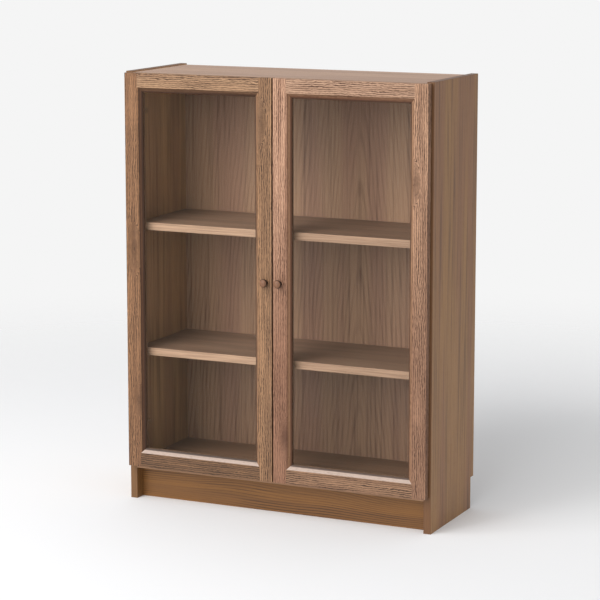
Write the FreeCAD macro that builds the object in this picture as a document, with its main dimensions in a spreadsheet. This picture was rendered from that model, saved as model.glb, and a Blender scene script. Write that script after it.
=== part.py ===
import FreeCAD, Part
import math
import os
import re
import Sketcher

"""Bookcase with two framed glass doors on concealed four-bar hinges.

Units are millimetres.  +Z is up, the front faces -Y, X = 0 is the middle of the
carcass and z = 0 the floor.  Y = 0 is half-way between the front of the knobs
and the back edges of the side panels.  Each piece of the right half is built
from the sheet and its left twin is a mirror image of it.
"""

# ---------------------------------------------------------------------------
# Driving dimensions: name, value in mm (degrees for angles), what it measures
# ---------------------------------------------------------------------------
SIZES = (
    ("carcass_width", 800, "outside width over the side panels"),
    ("carcass_depth", 280, "front edge to back edge of a side panel"),
    ("carcass_height", 1060, "floor to top edge of a side panel"),
    ("side_thickness", 18, "side panel board"),
    ("top_thickness", 18, "top panel board"),
    ("bottom_thickness", 18, "bottom panel board"),
    ("top_drop", 3, "top panel below the side panel tops"),
    ("edge_easing", 1, "radius on the seen long edges of the boards"),
    ("plinth_height", 78, "floor to underside of the bottom panel"),
    ("plinth_setback", 30, "plinth face behind the side panel fronts"),
    ("plinth_thickness", 16, "plinth board"),
    ("skirting_depth", 18, "notch for the room's skirting, front to back"),
    ("skirting_height", 77, "notch for the room's skirting, up from the floor"),
    ("back_thickness", 3, "back panel board"),
    ("back_inset", 7, "back panel's rear face in front of the side back edges"),
    ("back_in_groove", 7, "how far the back panel enters a side panel"),
    ("groove_slack", 0.1, "play of the back panel in its grooves, each way"),
    ("shelf_thickness", 19, "shelf board"),
    ("shelf_setback", 12, "shelf front edge behind the side panel fronts"),
    ("shelf_back_gap", 1, "shelf back edge to back panel"),
    ("shelf_end_gap", 0.8, "shelf end to side panel"),
    ("shelf_height_lower", 381.5, "floor to top face of the lower shelf"),
    ("shelf_height_upper", 692, "floor to top face of the upper shelf"),
    ("pin_radius", 2.5, "shelf pin and its hole"),
    ("pin_depth", 8, "shelf pin inside the side panel"),
    ("pin_reach", 9, "shelf pin's rest beyond the side panel"),
    ("pin_rest_width", 8, "shelf pin's flat rest, front to back"),
    ("pin_rest_height", 5, "shelf pin's flat rest, up and down"),
    ("pin_row_front", 49, "front row of shelf pins behind the side fronts"),
    ("pin_row_back", 232, "back row of shelf pins behind the side fronts"),
    ("cam_radius", 7.5, "cam nut and its pocket"),
    ("cam_depth", 12.5, "cam nut, along its axis"),
    ("cam_from_end", 34, "cam nut centre to the board's end"),
    ("cam_slot_length", 9, "cross slot in the cam nut, end to end"),
    ("cam_slot_width", 1.2, "cross slot in the cam nut"),
    ("cam_slot_depth", 2, "cross slot in the cam nut"),
    ("cam_bolt_radius", 3, "cam bolt shank"),
    ("cam_neck_radius", 1.8, "cam bolt neck inside the cam nut"),
    ("cam_head_radius", 3.5, "cam bolt head"),
    ("cam_head_length", 3, "cam bolt head"),
    ("cam_head_start", 1, "cam bolt head's near face beyond the cam nut's axis"),
    ("cam_bore_radius", 4, "bore for the cam bolt in the board's end"),
    ("cam_thread_radius", 2.5, "cam bolt thread and its hole in the side panel"),
    ("cam_thread_depth", 11, "cam bolt thread inside the side panel"),
    ("cam_row_front", 60, "front row of cam bolts behind the side fronts"),
    ("cam_row_back", 210, "back row of cam bolts behind the side fronts"),
    ("dowel_radius", 4, "board dowel and its holes"),
    ("dowel_in_side", 12, "dowel hole in the face of a board"),
    ("dowel_in_end", 22, "dowel hole in the end of a board"),
    ("dowel_slack", 0.5, "free space at each end of a dowel"),
    ("dowel_offset", 32, "dowel beside its cam bolt, front to back"),
    ("plinth_dowel_edge", 20, "plinth dowel to the plinth's long edge"),
    ("plinth_dowel_spread", 150, "upright plinth dowels either side of the middle"),
    ("nail_radius", 0.8, "back panel nail"),
    ("nail_length", 20, "back panel nail under its head"),
    ("nail_head_radius", 2, "back panel nail head"),
    ("nail_head_height", 0.8, "back panel nail head"),
    ("nail_edge", 32, "outermost back panel nails to the side panels' inner faces"),
    ("door_gap", 2, "door back to side panel front edge"),
    ("door_thickness", 18, "stiles and rails"),
    ("door_reveal", 6, "door edge to the side panel's outer face"),
    ("door_meeting_gap", 3, "between the two doors"),
    ("door_bottom", 87, "floor to the doors' bottom edge"),
    ("door_top_drop", 3, "doors' top edge below the side panel tops"),
    ("member_flat", 34, "flat face of a stile or rail"),
    ("bevel_width", 12, "bevel beside the glass, across the member"),
    ("bevel_fall", 8, "bevel beside the glass, front to back"),
    ("lip_thickness", 2, "square lip in front of the glass"),
    ("rebate_width", 6, "glass rebate, across the member"),
    ("glass_thickness", 4, "glass pane"),
    ("glass_slack", 0.5, "pane edge to rebate wall"),
    ("bead_slack", 0.1, "glazing bead to rebate wall"),
    ("frame_dowel_radius", 3, "dowels between stiles and rails"),
    ("frame_dowel_depth", 15, "frame dowel hole in each member"),
    ("frame_dowel_edge", 9, "frame dowel to the rail's outer edge"),
    ("frame_dowel_pitch", 17, "between the two dowels of one corner"),
    ("knob_length", 18, "knob in front of the door"),
    ("knob_radius", 10, "knob head"),
    ("knob_base_radius", 6.5, "knob foot on the door"),
    ("knob_neck_radius", 5, "knob's narrowest place"),
    ("knob_neck_height", 6, "knob's narrowest place in front of the door"),
    ("knob_head_height", 12, "knob's widest place in front of the door"),
    ("knob_screw_radius", 2, "knob screw and its hole in the knob"),
    ("knob_screw_bite", 12, "knob screw inside the knob"),
    ("knob_screw_head_radius", 4, "knob screw head"),
    ("knob_screw_head_height", 2.4, "knob screw head, let into the stile"),
    ("knob_screw_slot_width", 1, "slot in the knob screw head"),
    ("knob_screw_slot_depth", 1, "slot in the knob screw head"),
    ("bumper_radius", 4, "door bumper"),
    ("bumper_height", 1.7, "door bumper"),
    ("bumper_edge", 5, "door bumper centre to the door's end"),
    ("hinge_from_end", 97, "hinge middle to the door's end"),
    ("cup_from_edge", 21.5, "hinge cup's axis to the door's edge"),
    ("cup_radius", 17.5, "hinge cup and its drilling"),
    ("cup_depth", 12, "hinge cup inside the door"),
    ("cup_wall", 0.6, "hinge cup's round wall"),
    ("cup_floor", 0.8, "hinge cup's floor"),
    ("cup_wing_start", 13, "cup wing from the hinge middle, up and down"),
    ("cup_wing_end", 29, "far end of the cup wing from the hinge middle"),
    ("cup_wing_half", 5, "half the width of a cup wing"),
    ("cup_wing_sheet", 1.2, "thickness of a cup wing"),
    ("cup_screw_offset", 9.5, "cup screws behind the cup's axis, away from the edge"),
    ("cup_screw_spread", 22.5, "cup screws from the hinge middle, up and down"),
    ("cup_ear_inner", 8.4, "inner face of a cup ear from the hinge middle"),
    ("cup_ear_sheet", 1.5, "thickness of a cup ear"),
    ("cup_ear_out", 4.6, "cup ear's outer edge outside the side panel's inner face"),
    ("cup_ear_width", 4.2, "cup ear across"),
    ("cup_ear_lift", 1, "cup ear above the door back"),
    ("pivot_a_in", 25, "outer link's arm pivot inside the side panel's inner face"),
    ("pivot_a_behind", 4.28, "outer link's arm pivot behind the side fronts"),
    ("pivot_b_in", 6.55, "inner link's arm pivot inside the side panel's inner face"),
    ("pivot_b_before", 10.5, "inner link's arm pivot in front of the side fronts"),
    ("pivot_c_out", 2.64, "outer link's cup pivot outside the side panel's inner face"),
    ("pivot_c_before", 2.6, "outer link's cup pivot in front of the side fronts"),
    ("pivot_d_out", 2.27, "inner link's cup pivot outside the side panel's inner face"),
    ("pivot_d_before", 7.59, "inner link's cup pivot in front of the side fronts"),
    ("open_eye_out", 0.7, "open eye's centre outside its pin, door closed"),
    ("open_eye_before", 0.54, "open eye's centre in front of its pin, door closed"),
    ("open_eye_play", 0.95, "play of the pin in the open eye, each way"),
    ("open_eye_rim", 0.95, "metal around the open eye"),
    ("pivot_pin_radius", 1.1, "pivot pins"),
    ("pivot_slack", 0.05, "running clearance of a link on its pin"),
    ("link_eye_radius", 2.4, "round end of a link or arm at a pivot"),
    ("link_half_width", 1.7, "half the width of a link"),
    ("outer_link_bow", 1.9, "outer link's rise over its chord"),
    ("outer_link_inner", 6.8, "outer link plate's inner face from the hinge middle"),
    ("outer_link_sheet", 1.4, "thickness of an outer link plate"),
    ("inner_link_bow", 2.03, "inner link's rise over its chord"),
    ("inner_link_half", 5, "half the height of the inner link"),
    ("pin_head", 0.2, "arm pivot pin beyond the outer link plates"),
    ("arm_cheek_inner", 5.2, "arm cheek's inner face from the hinge middle"),
    ("arm_sheet", 1.4, "thickness of an arm cheek"),
    ("arm_face_in", 10, "arm's inner face inside the side panel's inner face"),
    ("arm_web_sheet", 1.6, "thickness of the arm's web"),
    ("arm_skirt_in", 3, "arm cheek's outer edge inside the side panel's inner face"),
    ("arm_tail_behind", 57, "arm's tail behind the side fronts"),
    ("arm_web_behind", 16, "front end of the arm's web behind the side fronts"),
    ("arm_bend_in", 6.5, "where the arm forks, inside the side panel's inner face"),
    ("arm_bend_behind", 13, "where the arm forks, behind the side fronts"),
    ("arm_neck_half", 2.1, "half the width of the arm's neck"),
    ("arm_screw_behind", 49, "arm screw behind the side fronts"),
    ("arm_screw_radius", 2, "arm screw"),
    ("arm_screw_head_radius", 3.6, "arm screw head"),
    ("arm_screw_head_height", 1.8, "arm screw head"),
    ("plate_sheet", 2, "hinge plate on the side panel"),
    ("plate_half_height", 24, "half the height of the hinge plate"),
    ("plate_front_behind", 27, "hinge plate's front edge behind the side fronts"),
    ("plate_back_behind", 47, "hinge plate's rear edge behind the side fronts"),
    ("plate_block_front", 19, "plate block's front end behind the side fronts"),
    ("plate_block_back", 55, "plate block's rear end behind the side fronts"),
    ("plate_screw_spread", 16, "plate screws from the hinge middle, up and down"),
    ("screw_radius", 1.75, "hinge wood screw"),
    ("plate_screw_bite", 12, "hinge plate screw inside the side panel"),
    ("cup_screw_bite", 11, "hinge cup screw inside the door"),
    ("screw_head_radius", 3.4, "hinge wood screw head"),
    ("screw_head_height", 1.6, "hinge wood screw head"),
)

SHEET = "sizes"
FOLDER = "parts"
X_AXIS = FreeCAD.Vector(1, 0, 0)
Y_AXIS = FreeCAD.Vector(0, 1, 0)
Z_AXIS = FreeCAD.Vector(0, 0, 1)

doc = FreeCAD.newDocument("bookcase_with_glass_doors")
nodes = {}


# ---------------------------------------------------------------------------
# Derived places, as expressions on the sheet
# ---------------------------------------------------------------------------
def named(text):
    """Expression text with each size name turned into a reference to the sheet."""
    aliases = {alias for alias, _, _ in SIZES}
    return re.sub(r"\b[a-z]\w*\b", lambda m: f"{SHEET}.{m[0]}" if m[0] in aliases else m[0], text)


FRONT = "(-(carcass_depth - door_gap - door_thickness - knob_length) / 2)"
INNER = "(carcass_width / 2 - side_thickness)"
BOARD_DEPTH = "(carcass_depth - back_inset - back_thickness)"
TOP_FACE = "(carcass_height - top_drop)"
BOTTOM_FACE = "(plinth_height + bottom_thickness)"
DOOR_FACE = f"({FRONT} - door_gap - door_thickness)"
DOOR_BACK = f"({FRONT} - door_gap)"
DOOR_EDGE = "(carcass_width / 2 - door_reveal)"
DOOR_MEET = "(door_meeting_gap / 2)"
DOOR_HEIGHT = "(carcass_height - door_top_drop - door_bottom)"
MEMBER = "(member_flat + bevel_width)"
RAIL_LENGTH = f"({DOOR_EDGE} - {DOOR_MEET} - 2 * member_flat)"
GLASS_FACE = f"({DOOR_FACE} + bevel_fall + lip_thickness)"
GLASS_BACK = f"({GLASS_FACE} + glass_thickness)"
REBATE = f"({MEMBER} - rebate_width)"
MEET_MIDDLE = f"({DOOR_MEET} + member_flat / 2)"
DOOR_MIDDLE = f"(door_bottom + {DOOR_HEIGHT} / 2)"


def build_sheet():
    """The spreadsheet that holds every driving dimension under its own alias."""
    sheet = doc.addObject("Spreadsheet::Sheet", SHEET)
    for row, (alias, value, note) in enumerate(SIZES, 1):
        sheet.set(f"A{row}", note)
        sheet.set(f"B{row}", str(value))
        sheet.setAlias(f"B{row}", alias)
    doc.recompute()
    return sheet


def bind(thing, **properties):
    """Bind properties to expressions; x, y and z are the parts of its Placement."""
    places = {"x": "Placement.Base.x", "y": "Placement.Base.y", "z": "Placement.Base.z"}
    for name, text in properties.items():
        thing.setExpression(places.get(name, name), named(text))
    return thing


def node(thing, label):
    """Register a finished sub-part under the label that names its file."""
    thing.Label = label
    nodes[label] = thing
    return thing


def box(name, x, y, z, length, width, height):
    """Part box with its lowest corner at x, y, z, all of them expressions."""
    thing = doc.addObject("Part::Box", name)
    return bind(thing, x=x, y=y, z=z, Length=length, Width=width, Height=height)


TURNS = {
    "+Z": FreeCAD.Rotation(X_AXIS, 0),
    "-Z": FreeCAD.Rotation(X_AXIS, 180),
    "+X": FreeCAD.Rotation(Y_AXIS, 90),
    "-X": FreeCAD.Rotation(Y_AXIS, -90),
    "+Y": FreeCAD.Rotation(X_AXIS, -90),
    "-Y": FreeCAD.Rotation(X_AXIS, 90),
}


def rod(name, way, x, y, z, radius, length):
    """Part cylinder that starts at x, y, z and runs the given way."""
    thing = doc.addObject("Part::Cylinder", name)
    thing.Placement.Rotation = TURNS[way]
    return bind(thing, x=x, y=y, z=z, Radius=radius, Height=length)


def group(name, things):
    """Several separate solids as one object."""
    thing = doc.addObject("Part::Compound", name)
    thing.Links = things
    return thing


def fuse(name, things):
    thing = doc.addObject("Part::MultiFuse", name)
    thing.Shapes = things
    return thing


def cut(name, base, tools):
    """Base less every tool."""
    thing = doc.addObject("Part::Cut", name)
    thing.Base = base
    thing.Tool = tools[0] if len(tools) == 1 else group(f"{name}_tools", tools)
    return thing


def mirror(source, name):
    """Twin of a right-hand piece on the other side of the middle plane."""
    thing = doc.addObject("Part::Mirroring", name)
    thing.Source = source
    thing.Normal = X_AXIS
    return thing


def both_sides(source, stem):
    """Register a right-hand piece and its left twin as two nodes."""
    twin = mirror(source, f"{stem}_left_twin")
    node(source, f"{stem}_right")
    node(twin, f"{stem}_left")


def new_body(name):
    return doc.addObject("PartDesign::Body", name)


def sketch_on(body, name, plane, offset=None):
    """Empty sketch on one of the body's own origin planes, shifted along its normal."""
    sketch = body.newObject("Sketcher::SketchObject", name)
    support = next(f for f in body.Origin.OriginFeatures if f.Role == f"{plane}_Plane")
    sketch.AttachmentSupport = [(support, "")]
    sketch.MapMode = "FlatFace"
    if offset:
        sketch.setExpression("AttachmentOffset.Base.z", named(offset))
    return sketch


def hold_point(sketch, geometry, position, label, across, up):
    """Tie one point of a sketch to two coordinates, each an expression."""
    now = sketch.getPoint(geometry, position)
    for kind, text, axis, start in (
        ("DistanceX", across, -2, now.x),
        ("DistanceY", up, -1, now.y),
    ):
        if text == "0":
            sketch.addConstraint(Sketcher.Constraint("PointOnObject", geometry, position, axis))
            continue
        start = start if abs(start) > 0.01 else 0.5
        index = sketch.addConstraint(Sketcher.Constraint(kind, -1, 1, geometry, position, start))
        sketch.renameConstraint(index, f"{label}{kind[-1]}")
        sketch.setExpression(f"Constraints.{label}{kind[-1]}", named(text))


def outline(body, name, plane, corners, offset=None):
    """Closed outline of straight edges through corners given as pairs of expressions."""
    sketch = sketch_on(body, name, plane, offset)
    count = len(corners)
    start = [
        FreeCAD.Vector(math.cos(2 * math.pi * i / count), math.sin(2 * math.pi * i / count), 0)
        for i in range(count)
    ]
    for i in range(count):
        sketch.addGeometry(Part.LineSegment(start[i], start[(i + 1) % count]), False)
    for i in range(count):
        sketch.addConstraint(Sketcher.Constraint("Coincident", i, 2, (i + 1) % count, 1))
    for i, (across, up) in enumerate(corners):
        hold_point(sketch, i, 1, f"corner{i}", across, up)
    return sketch


def pad(body, sketch, length):
    feature = body.newObject("PartDesign::Pad", f"{sketch.Name}_pad")
    feature.Profile = sketch
    feature.setExpression("Length", named(length))
    body.Tip = feature
    return feature


def pocket_through(body, sketch):
    """Cut the sketch's outline through the body, both ways from its plane."""
    feature = body.newObject("PartDesign::Pocket", f"{sketch.Name}_pocket")
    feature.Profile = sketch
    feature.Type = "ThroughAll"
    feature.Midplane = True
    body.Tip = feature
    return feature


def ease(name, base, wanted):
    """Round the straight edges of a shape for which wanted(edge) is true."""
    doc.recompute()
    sheet = doc.getObject(SHEET)
    edges = [
        (index, sheet.edge_easing, sheet.edge_easing)
        for index, edge in enumerate(base.Shape.Edges, 1)
        if isinstance(edge.Curve, Part.Line) and wanted(edge)
    ]
    thing = doc.addObject("Part::Fillet", name)
    thing.Base = base
    thing.Edges = edges
    return thing


# ---------------------------------------------------------------------------
# Carcass
# ---------------------------------------------------------------------------
def along_y(edge):
    return abs(edge.tangentAt(edge.FirstParameter).y) > 0.99


def along_x(edge):
    return abs(edge.tangentAt(edge.FirstParameter).x) > 0.99


def along_z(edge):
    return abs(edge.tangentAt(edge.FirstParameter).z) > 0.99


def cam_rows():
    """Front-to-back place of each cam bolt."""
    return [f"({FRONT} + cam_row_{row})" for row in ("front", "back")]


def dowel_rows():
    """Front-to-back place of each dowel beside a cam bolt, between the two bolts."""
    return [
        f"({FRONT} + cam_row_front + dowel_offset)",
        f"({FRONT} + cam_row_back - dowel_offset)",
    ]


def board_middles():
    """Height of the middle of the top and of the bottom panel."""
    return {
        "top": f"({TOP_FACE} - top_thickness / 2)",
        "bottom": f"({BOTTOM_FACE} - bottom_thickness / 2)",
    }


def plinth_middle():
    return f"({FRONT} + plinth_setback + plinth_thickness / 2)"


def plinth_dowel_heights():
    return ["plinth_dowel_edge", "(plinth_height - plinth_dowel_edge)"]


def pin_places():
    """Front-to-back place and underside height of every shelf pin on one side."""
    return [
        (f"({FRONT} + pin_row_{row})", f"(shelf_height_{shelf} - shelf_thickness)")
        for shelf in ("lower", "upper")
        for row in ("front", "back")
    ]


def side_panel_right():
    """Side panel with the skirting notch, the back groove and all its drillings."""
    body = new_body("side_board")
    back = f"({FRONT} + carcass_depth)"
    corners = [
        (FRONT, "0"),
        (f"({back} - skirting_depth)", "0"),
        (f"({back} - skirting_depth)", "skirting_height"),
        (back, "skirting_height"),
        (back, "carcass_height"),
        (FRONT, "carcass_height"),
    ]
    pad(body, outline(body, "side_outline", "YZ", corners, INNER), "side_thickness")
    tools = [
        box(
            "back_groove", INNER, f"{FRONT} + {BOARD_DEPTH} - groove_slack", "plinth_height",
            "back_in_groove + groove_slack", "back_thickness + 2 * groove_slack",
            f"{TOP_FACE} - plinth_height",
        )
    ]
    for level, height in board_middles().items():
        for row in cam_rows():
            tools.append(rod(f"cam_hole_{level}", "+X", INNER, row, height,
                             "cam_thread_radius", "cam_thread_depth"))
        for row in dowel_rows():
            tools.append(rod(f"dowel_hole_{level}", "+X", INNER, row, height,
                             "dowel_radius", "dowel_in_side"))
    for height in plinth_dowel_heights():
        tools.append(rod("plinth_hole", "+X", INNER, plinth_middle(), height,
                         "dowel_radius", "dowel_in_side"))
    for row, height in pin_places():
        tools.append(rod("pin_hole", "+X", INNER, row, f"{height} - pin_rest_height / 2",
                         "pin_radius", "pin_depth"))
    for row, height in hinge_screw_places():
        tools.append(rod("plate_screw_hole", "+X", INNER, row, height,
                         "screw_radius", "plate_screw_bite"))
    drilled = cut("side_drilled", body, tools)
    doc.recompute()
    front = drilled.Shape.BoundBox.YMin
    top = drilled.Shape.BoundBox.ZMax

    def seen(edge):
        box_ = edge.BoundBox
        return (along_z(edge) and box_.YMax < front + 0.01) or (
            along_y(edge) and box_.ZMin > top - 0.01
        )

    return ease("side_eased", drilled, seen)


def end_drilled_board(name, underside, thickness):
    """Top or bottom panel: cam pockets from below, cam bores and dowel holes in its ends."""
    board = box(
        f"{name}_board", f"-{INNER}", FRONT, underside, f"2 * {INNER}", BOARD_DEPTH, thickness
    )
    middle = f"({underside} + {thickness} / 2)"
    tools = []
    for way, sign in (("-X", ""), ("+X", "-")):
        end = f"{sign}{INNER}"
        pocket_x = f"{sign}({INNER} - cam_from_end)"
        for row in cam_rows():
            tools.append(rod(f"{name}_cam_pocket", "+Z", pocket_x, row, underside,
                             "cam_radius", "cam_depth"))
            tools.append(rod(f"{name}_cam_bore", way, end, row, middle,
                             "cam_bore_radius", "cam_from_end"))
        for row in dowel_rows():
            tools.append(rod(f"{name}_dowel_hole", way, end, row, middle,
                             "dowel_radius", "dowel_in_end"))
    return board, tools


NAILS = 6


def nail_rows():
    """Across places of the nails in one board, evenly spaced between the outermost two."""
    return [
        f"({2 * step + 1 - NAILS} / {NAILS - 1} * ({INNER} - nail_edge))" for step in range(NAILS)
    ]


def nail_holes(name, height):
    """Nail holes in the back edge of a board."""
    start = f"{FRONT} + {BOARD_DEPTH}"
    return [
        rod(f"{name}_nail_hole", "-Y", row, start, height, "nail_radius",
            "nail_length - back_thickness")
        for row in nail_rows()
    ]


def front_edges(shape_box):
    """Test for the long edges along the front of a board."""
    return lambda edge: along_x(edge) and edge.BoundBox.YMax < shape_box.YMin + 0.01


def build_boards():
    """Side panels, top, bottom, plinth, back panel and the two shelves."""
    both_sides(side_panel_right(), "side_panel")
    middles = board_middles()

    board, tools = end_drilled_board("top", f"({TOP_FACE} - top_thickness)", "top_thickness")
    tools += nail_holes("top", middles["top"])
    node(cut("top_drilled", board, tools), "top_panel")

    board, tools = end_drilled_board("bottom", "plinth_height", "bottom_thickness")
    tools += nail_holes("bottom", middles["bottom"])
    for sign in ("", "-"):
        tools.append(rod("bottom_plinth_hole", "+Z", f"{sign}plinth_dowel_spread", plinth_middle(),
                         "plinth_height", "dowel_radius", "dowel_in_side"))
    node(cut("bottom_drilled", board, tools), "bottom_panel")

    board = box("plinth_board", f"-{INNER}", f"{FRONT} + plinth_setback", "0",
                f"2 * {INNER}", "plinth_thickness", "plinth_height")
    tools = []
    for way, sign in (("-X", ""), ("+X", "-")):
        for height in plinth_dowel_heights():
            tools.append(rod("plinth_end_hole", way, f"{sign}{INNER}", plinth_middle(), height,
                             "dowel_radius", "dowel_in_end"))
        tools.append(rod("plinth_top_hole", "-Z", f"{sign}plinth_dowel_spread", plinth_middle(),
                         "plinth_height", "dowel_radius", "dowel_in_end"))
    node(cut("plinth_drilled", board, tools), "plinth")

    half = f"({INNER} + back_in_groove)"
    board = box("back_board", f"-{half}", f"{FRONT} + {BOARD_DEPTH}", "plinth_height",
                f"2 * {half}", "back_thickness", f"{TOP_FACE} - plinth_height")
    rear = f"({FRONT} + {BOARD_DEPTH} + back_thickness)"
    tools = [
        rod("back_nail_hole", "-Y", row, rear, height, "nail_radius", "back_thickness")
        for height in middles.values()
        for row in nail_rows()
    ]
    node(cut("back_drilled", board, tools), "back_panel")

    for shelf in ("lower", "upper"):
        board = box(
            f"shelf_{shelf}_board", f"-({INNER} - shelf_end_gap)", f"{FRONT} + shelf_setback",
            f"shelf_height_{shelf} - shelf_thickness", f"2 * ({INNER} - shelf_end_gap)",
            f"{BOARD_DEPTH} - shelf_setback - shelf_back_gap", "shelf_thickness",
        )
        doc.recompute()
        node(ease(f"shelf_{shelf}_eased", board, front_edges(board.Shape.BoundBox)),
             f"shelf_{shelf}")


def build_shelf_pins():
    """Eight pins, each a round shank in a side panel and a flat rest under a shelf."""
    pins = []
    for row, top in pin_places():
        shank = rod("pin_shank", "+X", INNER, row, f"{top} - pin_rest_height / 2",
                    "pin_radius", "pin_depth")
        rest = box("pin_rest", f"{INNER} - pin_reach", f"{row} - pin_rest_width / 2",
                   f"{top} - pin_rest_height", "pin_reach", "pin_rest_width", "pin_rest_height")
        pin = fuse("pin", [shank, rest])
        pins += [pin, mirror(pin, "pin_twin")]
    node(group("pins", pins), "shelf_pins")


def build_cams():
    """Eight cam bolts in the side panels and the cam nuts that draw the boards to them."""
    bolts = []
    nuts = []
    undersides = {"top": f"({TOP_FACE} - top_thickness)", "bottom": "plinth_height"}
    centre = f"({INNER} - cam_from_end)"
    for level, height in board_middles().items():
        for row in cam_rows():
            thread = rod("cam_thread", "+X", INNER, row, height,
                         "cam_thread_radius", "cam_thread_depth")
            shank = rod("cam_shank", "-X", INNER, row, height,
                        "cam_bolt_radius", "cam_from_end - cam_radius")
            neck = rod("cam_neck", "-X", f"{centre} + cam_radius", row, height,
                       "cam_neck_radius", "cam_radius - cam_head_start")
            head = rod("cam_head", "-X", f"{centre} + cam_head_start", row, height,
                       "cam_head_radius", "cam_head_length")
            bolt = fuse("cam_bolt", [thread, shank, neck, head])
            bolts += [bolt, mirror(bolt, "cam_bolt_twin")]

            drum = rod("cam_drum", "+Z", centre, row, undersides[level],
                       "cam_radius", "cam_depth")
            mouth = rod("cam_mouth", "+X", f"{centre} - cam_bore_radius", row, height,
                        "cam_bore_radius", "cam_radius + cam_bore_radius")
            long, short = "cam_slot_length", "cam_slot_width"
            slots = [
                box("cam_slot", f"{centre} - {wide} / 2", f"{row} - {deep} / 2",
                    undersides[level], wide, deep, "cam_slot_depth")
                for wide, deep in ((long, short), (short, long))
            ]
            nut = cut("cam_nut", drum, [mouth] + slots)
            nuts += [nut, mirror(nut, "cam_nut_twin")]
    node(group("cam_bolt_set", bolts), "cam_bolts")
    node(group("cam_nut_set", nuts), "cam_nuts")


def build_dowels():
    """Wooden dowels that line the boards up, with a little free space at their ends."""
    dowels = []
    length = "dowel_in_side + dowel_in_end - 2 * dowel_slack"
    start = f"{INNER} + dowel_in_side - dowel_slack"
    places = [(row, height) for height in board_middles().values() for row in dowel_rows()]
    places += [(plinth_middle(), height) for height in plinth_dowel_heights()]
    for row, height in places:
        dowel = rod("dowel", "-X", start, row, height, "dowel_radius", length)
        dowels += [dowel, mirror(dowel, "dowel_twin")]
    for sign in ("", "-"):
        dowels.append(rod("plinth_dowel", "-Z", f"{sign}plinth_dowel_spread", plinth_middle(),
                          "plinth_height + dowel_in_side - dowel_slack", "dowel_radius", length))
    node(group("dowel_set", dowels), "panel_dowels")


def build_nails():
    """Nails through the back panel into the back edges of the top and bottom panels."""
    rear = f"({FRONT} + {BOARD_DEPTH} + back_thickness)"
    nails = []
    for height in board_middles().values():
        for row in nail_rows():
            shank = rod("nail_shank", "-Y", row, rear, height, "nail_radius", "nail_length")
            head = rod("nail_head", "+Y", row, rear, height, "nail_head_radius",
                       "nail_head_height")
            nails.append(fuse("nail", [shank, head]))
    node(group("nail_set", nails), "back_panel_nails")


# ---------------------------------------------------------------------------
# Doors
# ---------------------------------------------------------------------------
def member_section(place):
    """Seven corners of a stile or rail: place(across, back) gives one sketch corner.

    across runs from the member's outer edge to the glass, back from its face.
    """
    glass_line = "(bevel_fall + lip_thickness)"
    return [
        place("0", "0"),
        place("member_flat", "0"),
        place(MEMBER, "bevel_fall"),
        place(MEMBER, glass_line),
        place(REBATE, glass_line),
        place(REBATE, "door_thickness"),
        place("0", "door_thickness"),
    ]


def door_heights():
    """Outer edge and inward sign of the door's bottom and top."""
    return {"bottom": ("door_bottom", "+"), "top": ("(carcass_height - door_top_drop)", "-")}


def door_sides():
    """Outer edge and inward sign of the hinge side and the meeting side."""
    return {"hinge": (DOOR_EDGE, "-"), "meeting": (DOOR_MEET, "+")}


def door_stile(side):
    """Stile over the full height of the door; its bevel and rebate stop at the mitres."""
    edge, inward = door_sides()[side]
    body = new_body(f"{side}_stile_stick")
    section = member_section(
        lambda across, back: (f"({edge} {inward} {across})", f"({DOOR_FACE} + {back})")
    )
    pad(body, outline(body, f"{side}_stile_section", "XY", section, "door_bottom"), DOOR_HEIGHT)
    near = f"({edge} {inward} member_flat)"
    far = f"({edge} {inward} (member_flat + 2 * bevel_width))"
    for end, (start, up) in door_heights().items():
        outside = f"({start} {'-' if up == '+' else '+'} bevel_width)"
        corners = [
            (near, outside),
            (far, outside),
            (far, f"({start} {up} (member_flat + 2 * bevel_width))"),
            (near, f"({start} {up} member_flat)"),
        ]
        pocket_through(body, outline(body, f"{side}_stile_mitre_{end}", "XZ", corners))
    return body


def door_rail(end):
    """Rail between the stiles, its bevel mitred at both ends."""
    edge, inward = door_heights()[end]
    start = f"({DOOR_MEET} + member_flat)"
    body = new_body(f"{end}_rail_stick")
    section = member_section(
        lambda across, back: (f"({DOOR_FACE} + {back})", f"({edge} {inward} {across})")
    )
    pad(body, outline(body, f"{end}_rail_section", "YZ", section, start), RAIL_LENGTH)
    low = f"({edge} {inward} (member_flat - bevel_width))"
    high = f"({edge} {inward} (member_flat + 2 * bevel_width))"
    for side, (stile, into) in door_sides().items():
        joint = f"({stile} {into} member_flat)"
        away = "-" if into == "+" else "+"
        corners = [
            (f"({joint} {away} bevel_width)", low),
            (f"({joint} {into} 2 * bevel_width)", high),
            (f"({joint} {away} bevel_width)", high),
        ]
        pocket_through(body, outline(body, f"{end}_rail_mitre_{side}", "XZ", corners))
    return body


def frame_dowel_places(side=None, end=None):
    """Joint line, outward way and height of the dowels at the chosen corners."""
    places = []
    for this_side, (edge, inward) in door_sides().items():
        for this_end, (start, up) in door_heights().items():
            if side not in (None, this_side) or end not in (None, this_end):
                continue
            joint = f"({edge} {inward} member_flat)"
            for step in ("0", "frame_dowel_pitch"):
                height = f"({start} {up} (frame_dowel_edge + {step}))"
                places.append((joint, "+X" if inward == "-" else "-X", height))
    return places


OPPOSITE = {"+X": "-X", "-X": "+X"}
MEMBER_CORE = f"({DOOR_FACE} + door_thickness / 2)"


def frame_dowel_holes(side=None, end=None):
    """Dowel holes that run into a stile (side given) or into a rail (end given)."""
    holes = []
    for joint, outward, height in frame_dowel_places(side, end):
        way = outward if side else OPPOSITE[outward]
        holes.append(rod("frame_dowel_hole", way, joint, MEMBER_CORE, height,
                         "frame_dowel_radius", "frame_dowel_depth"))
    return holes


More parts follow.
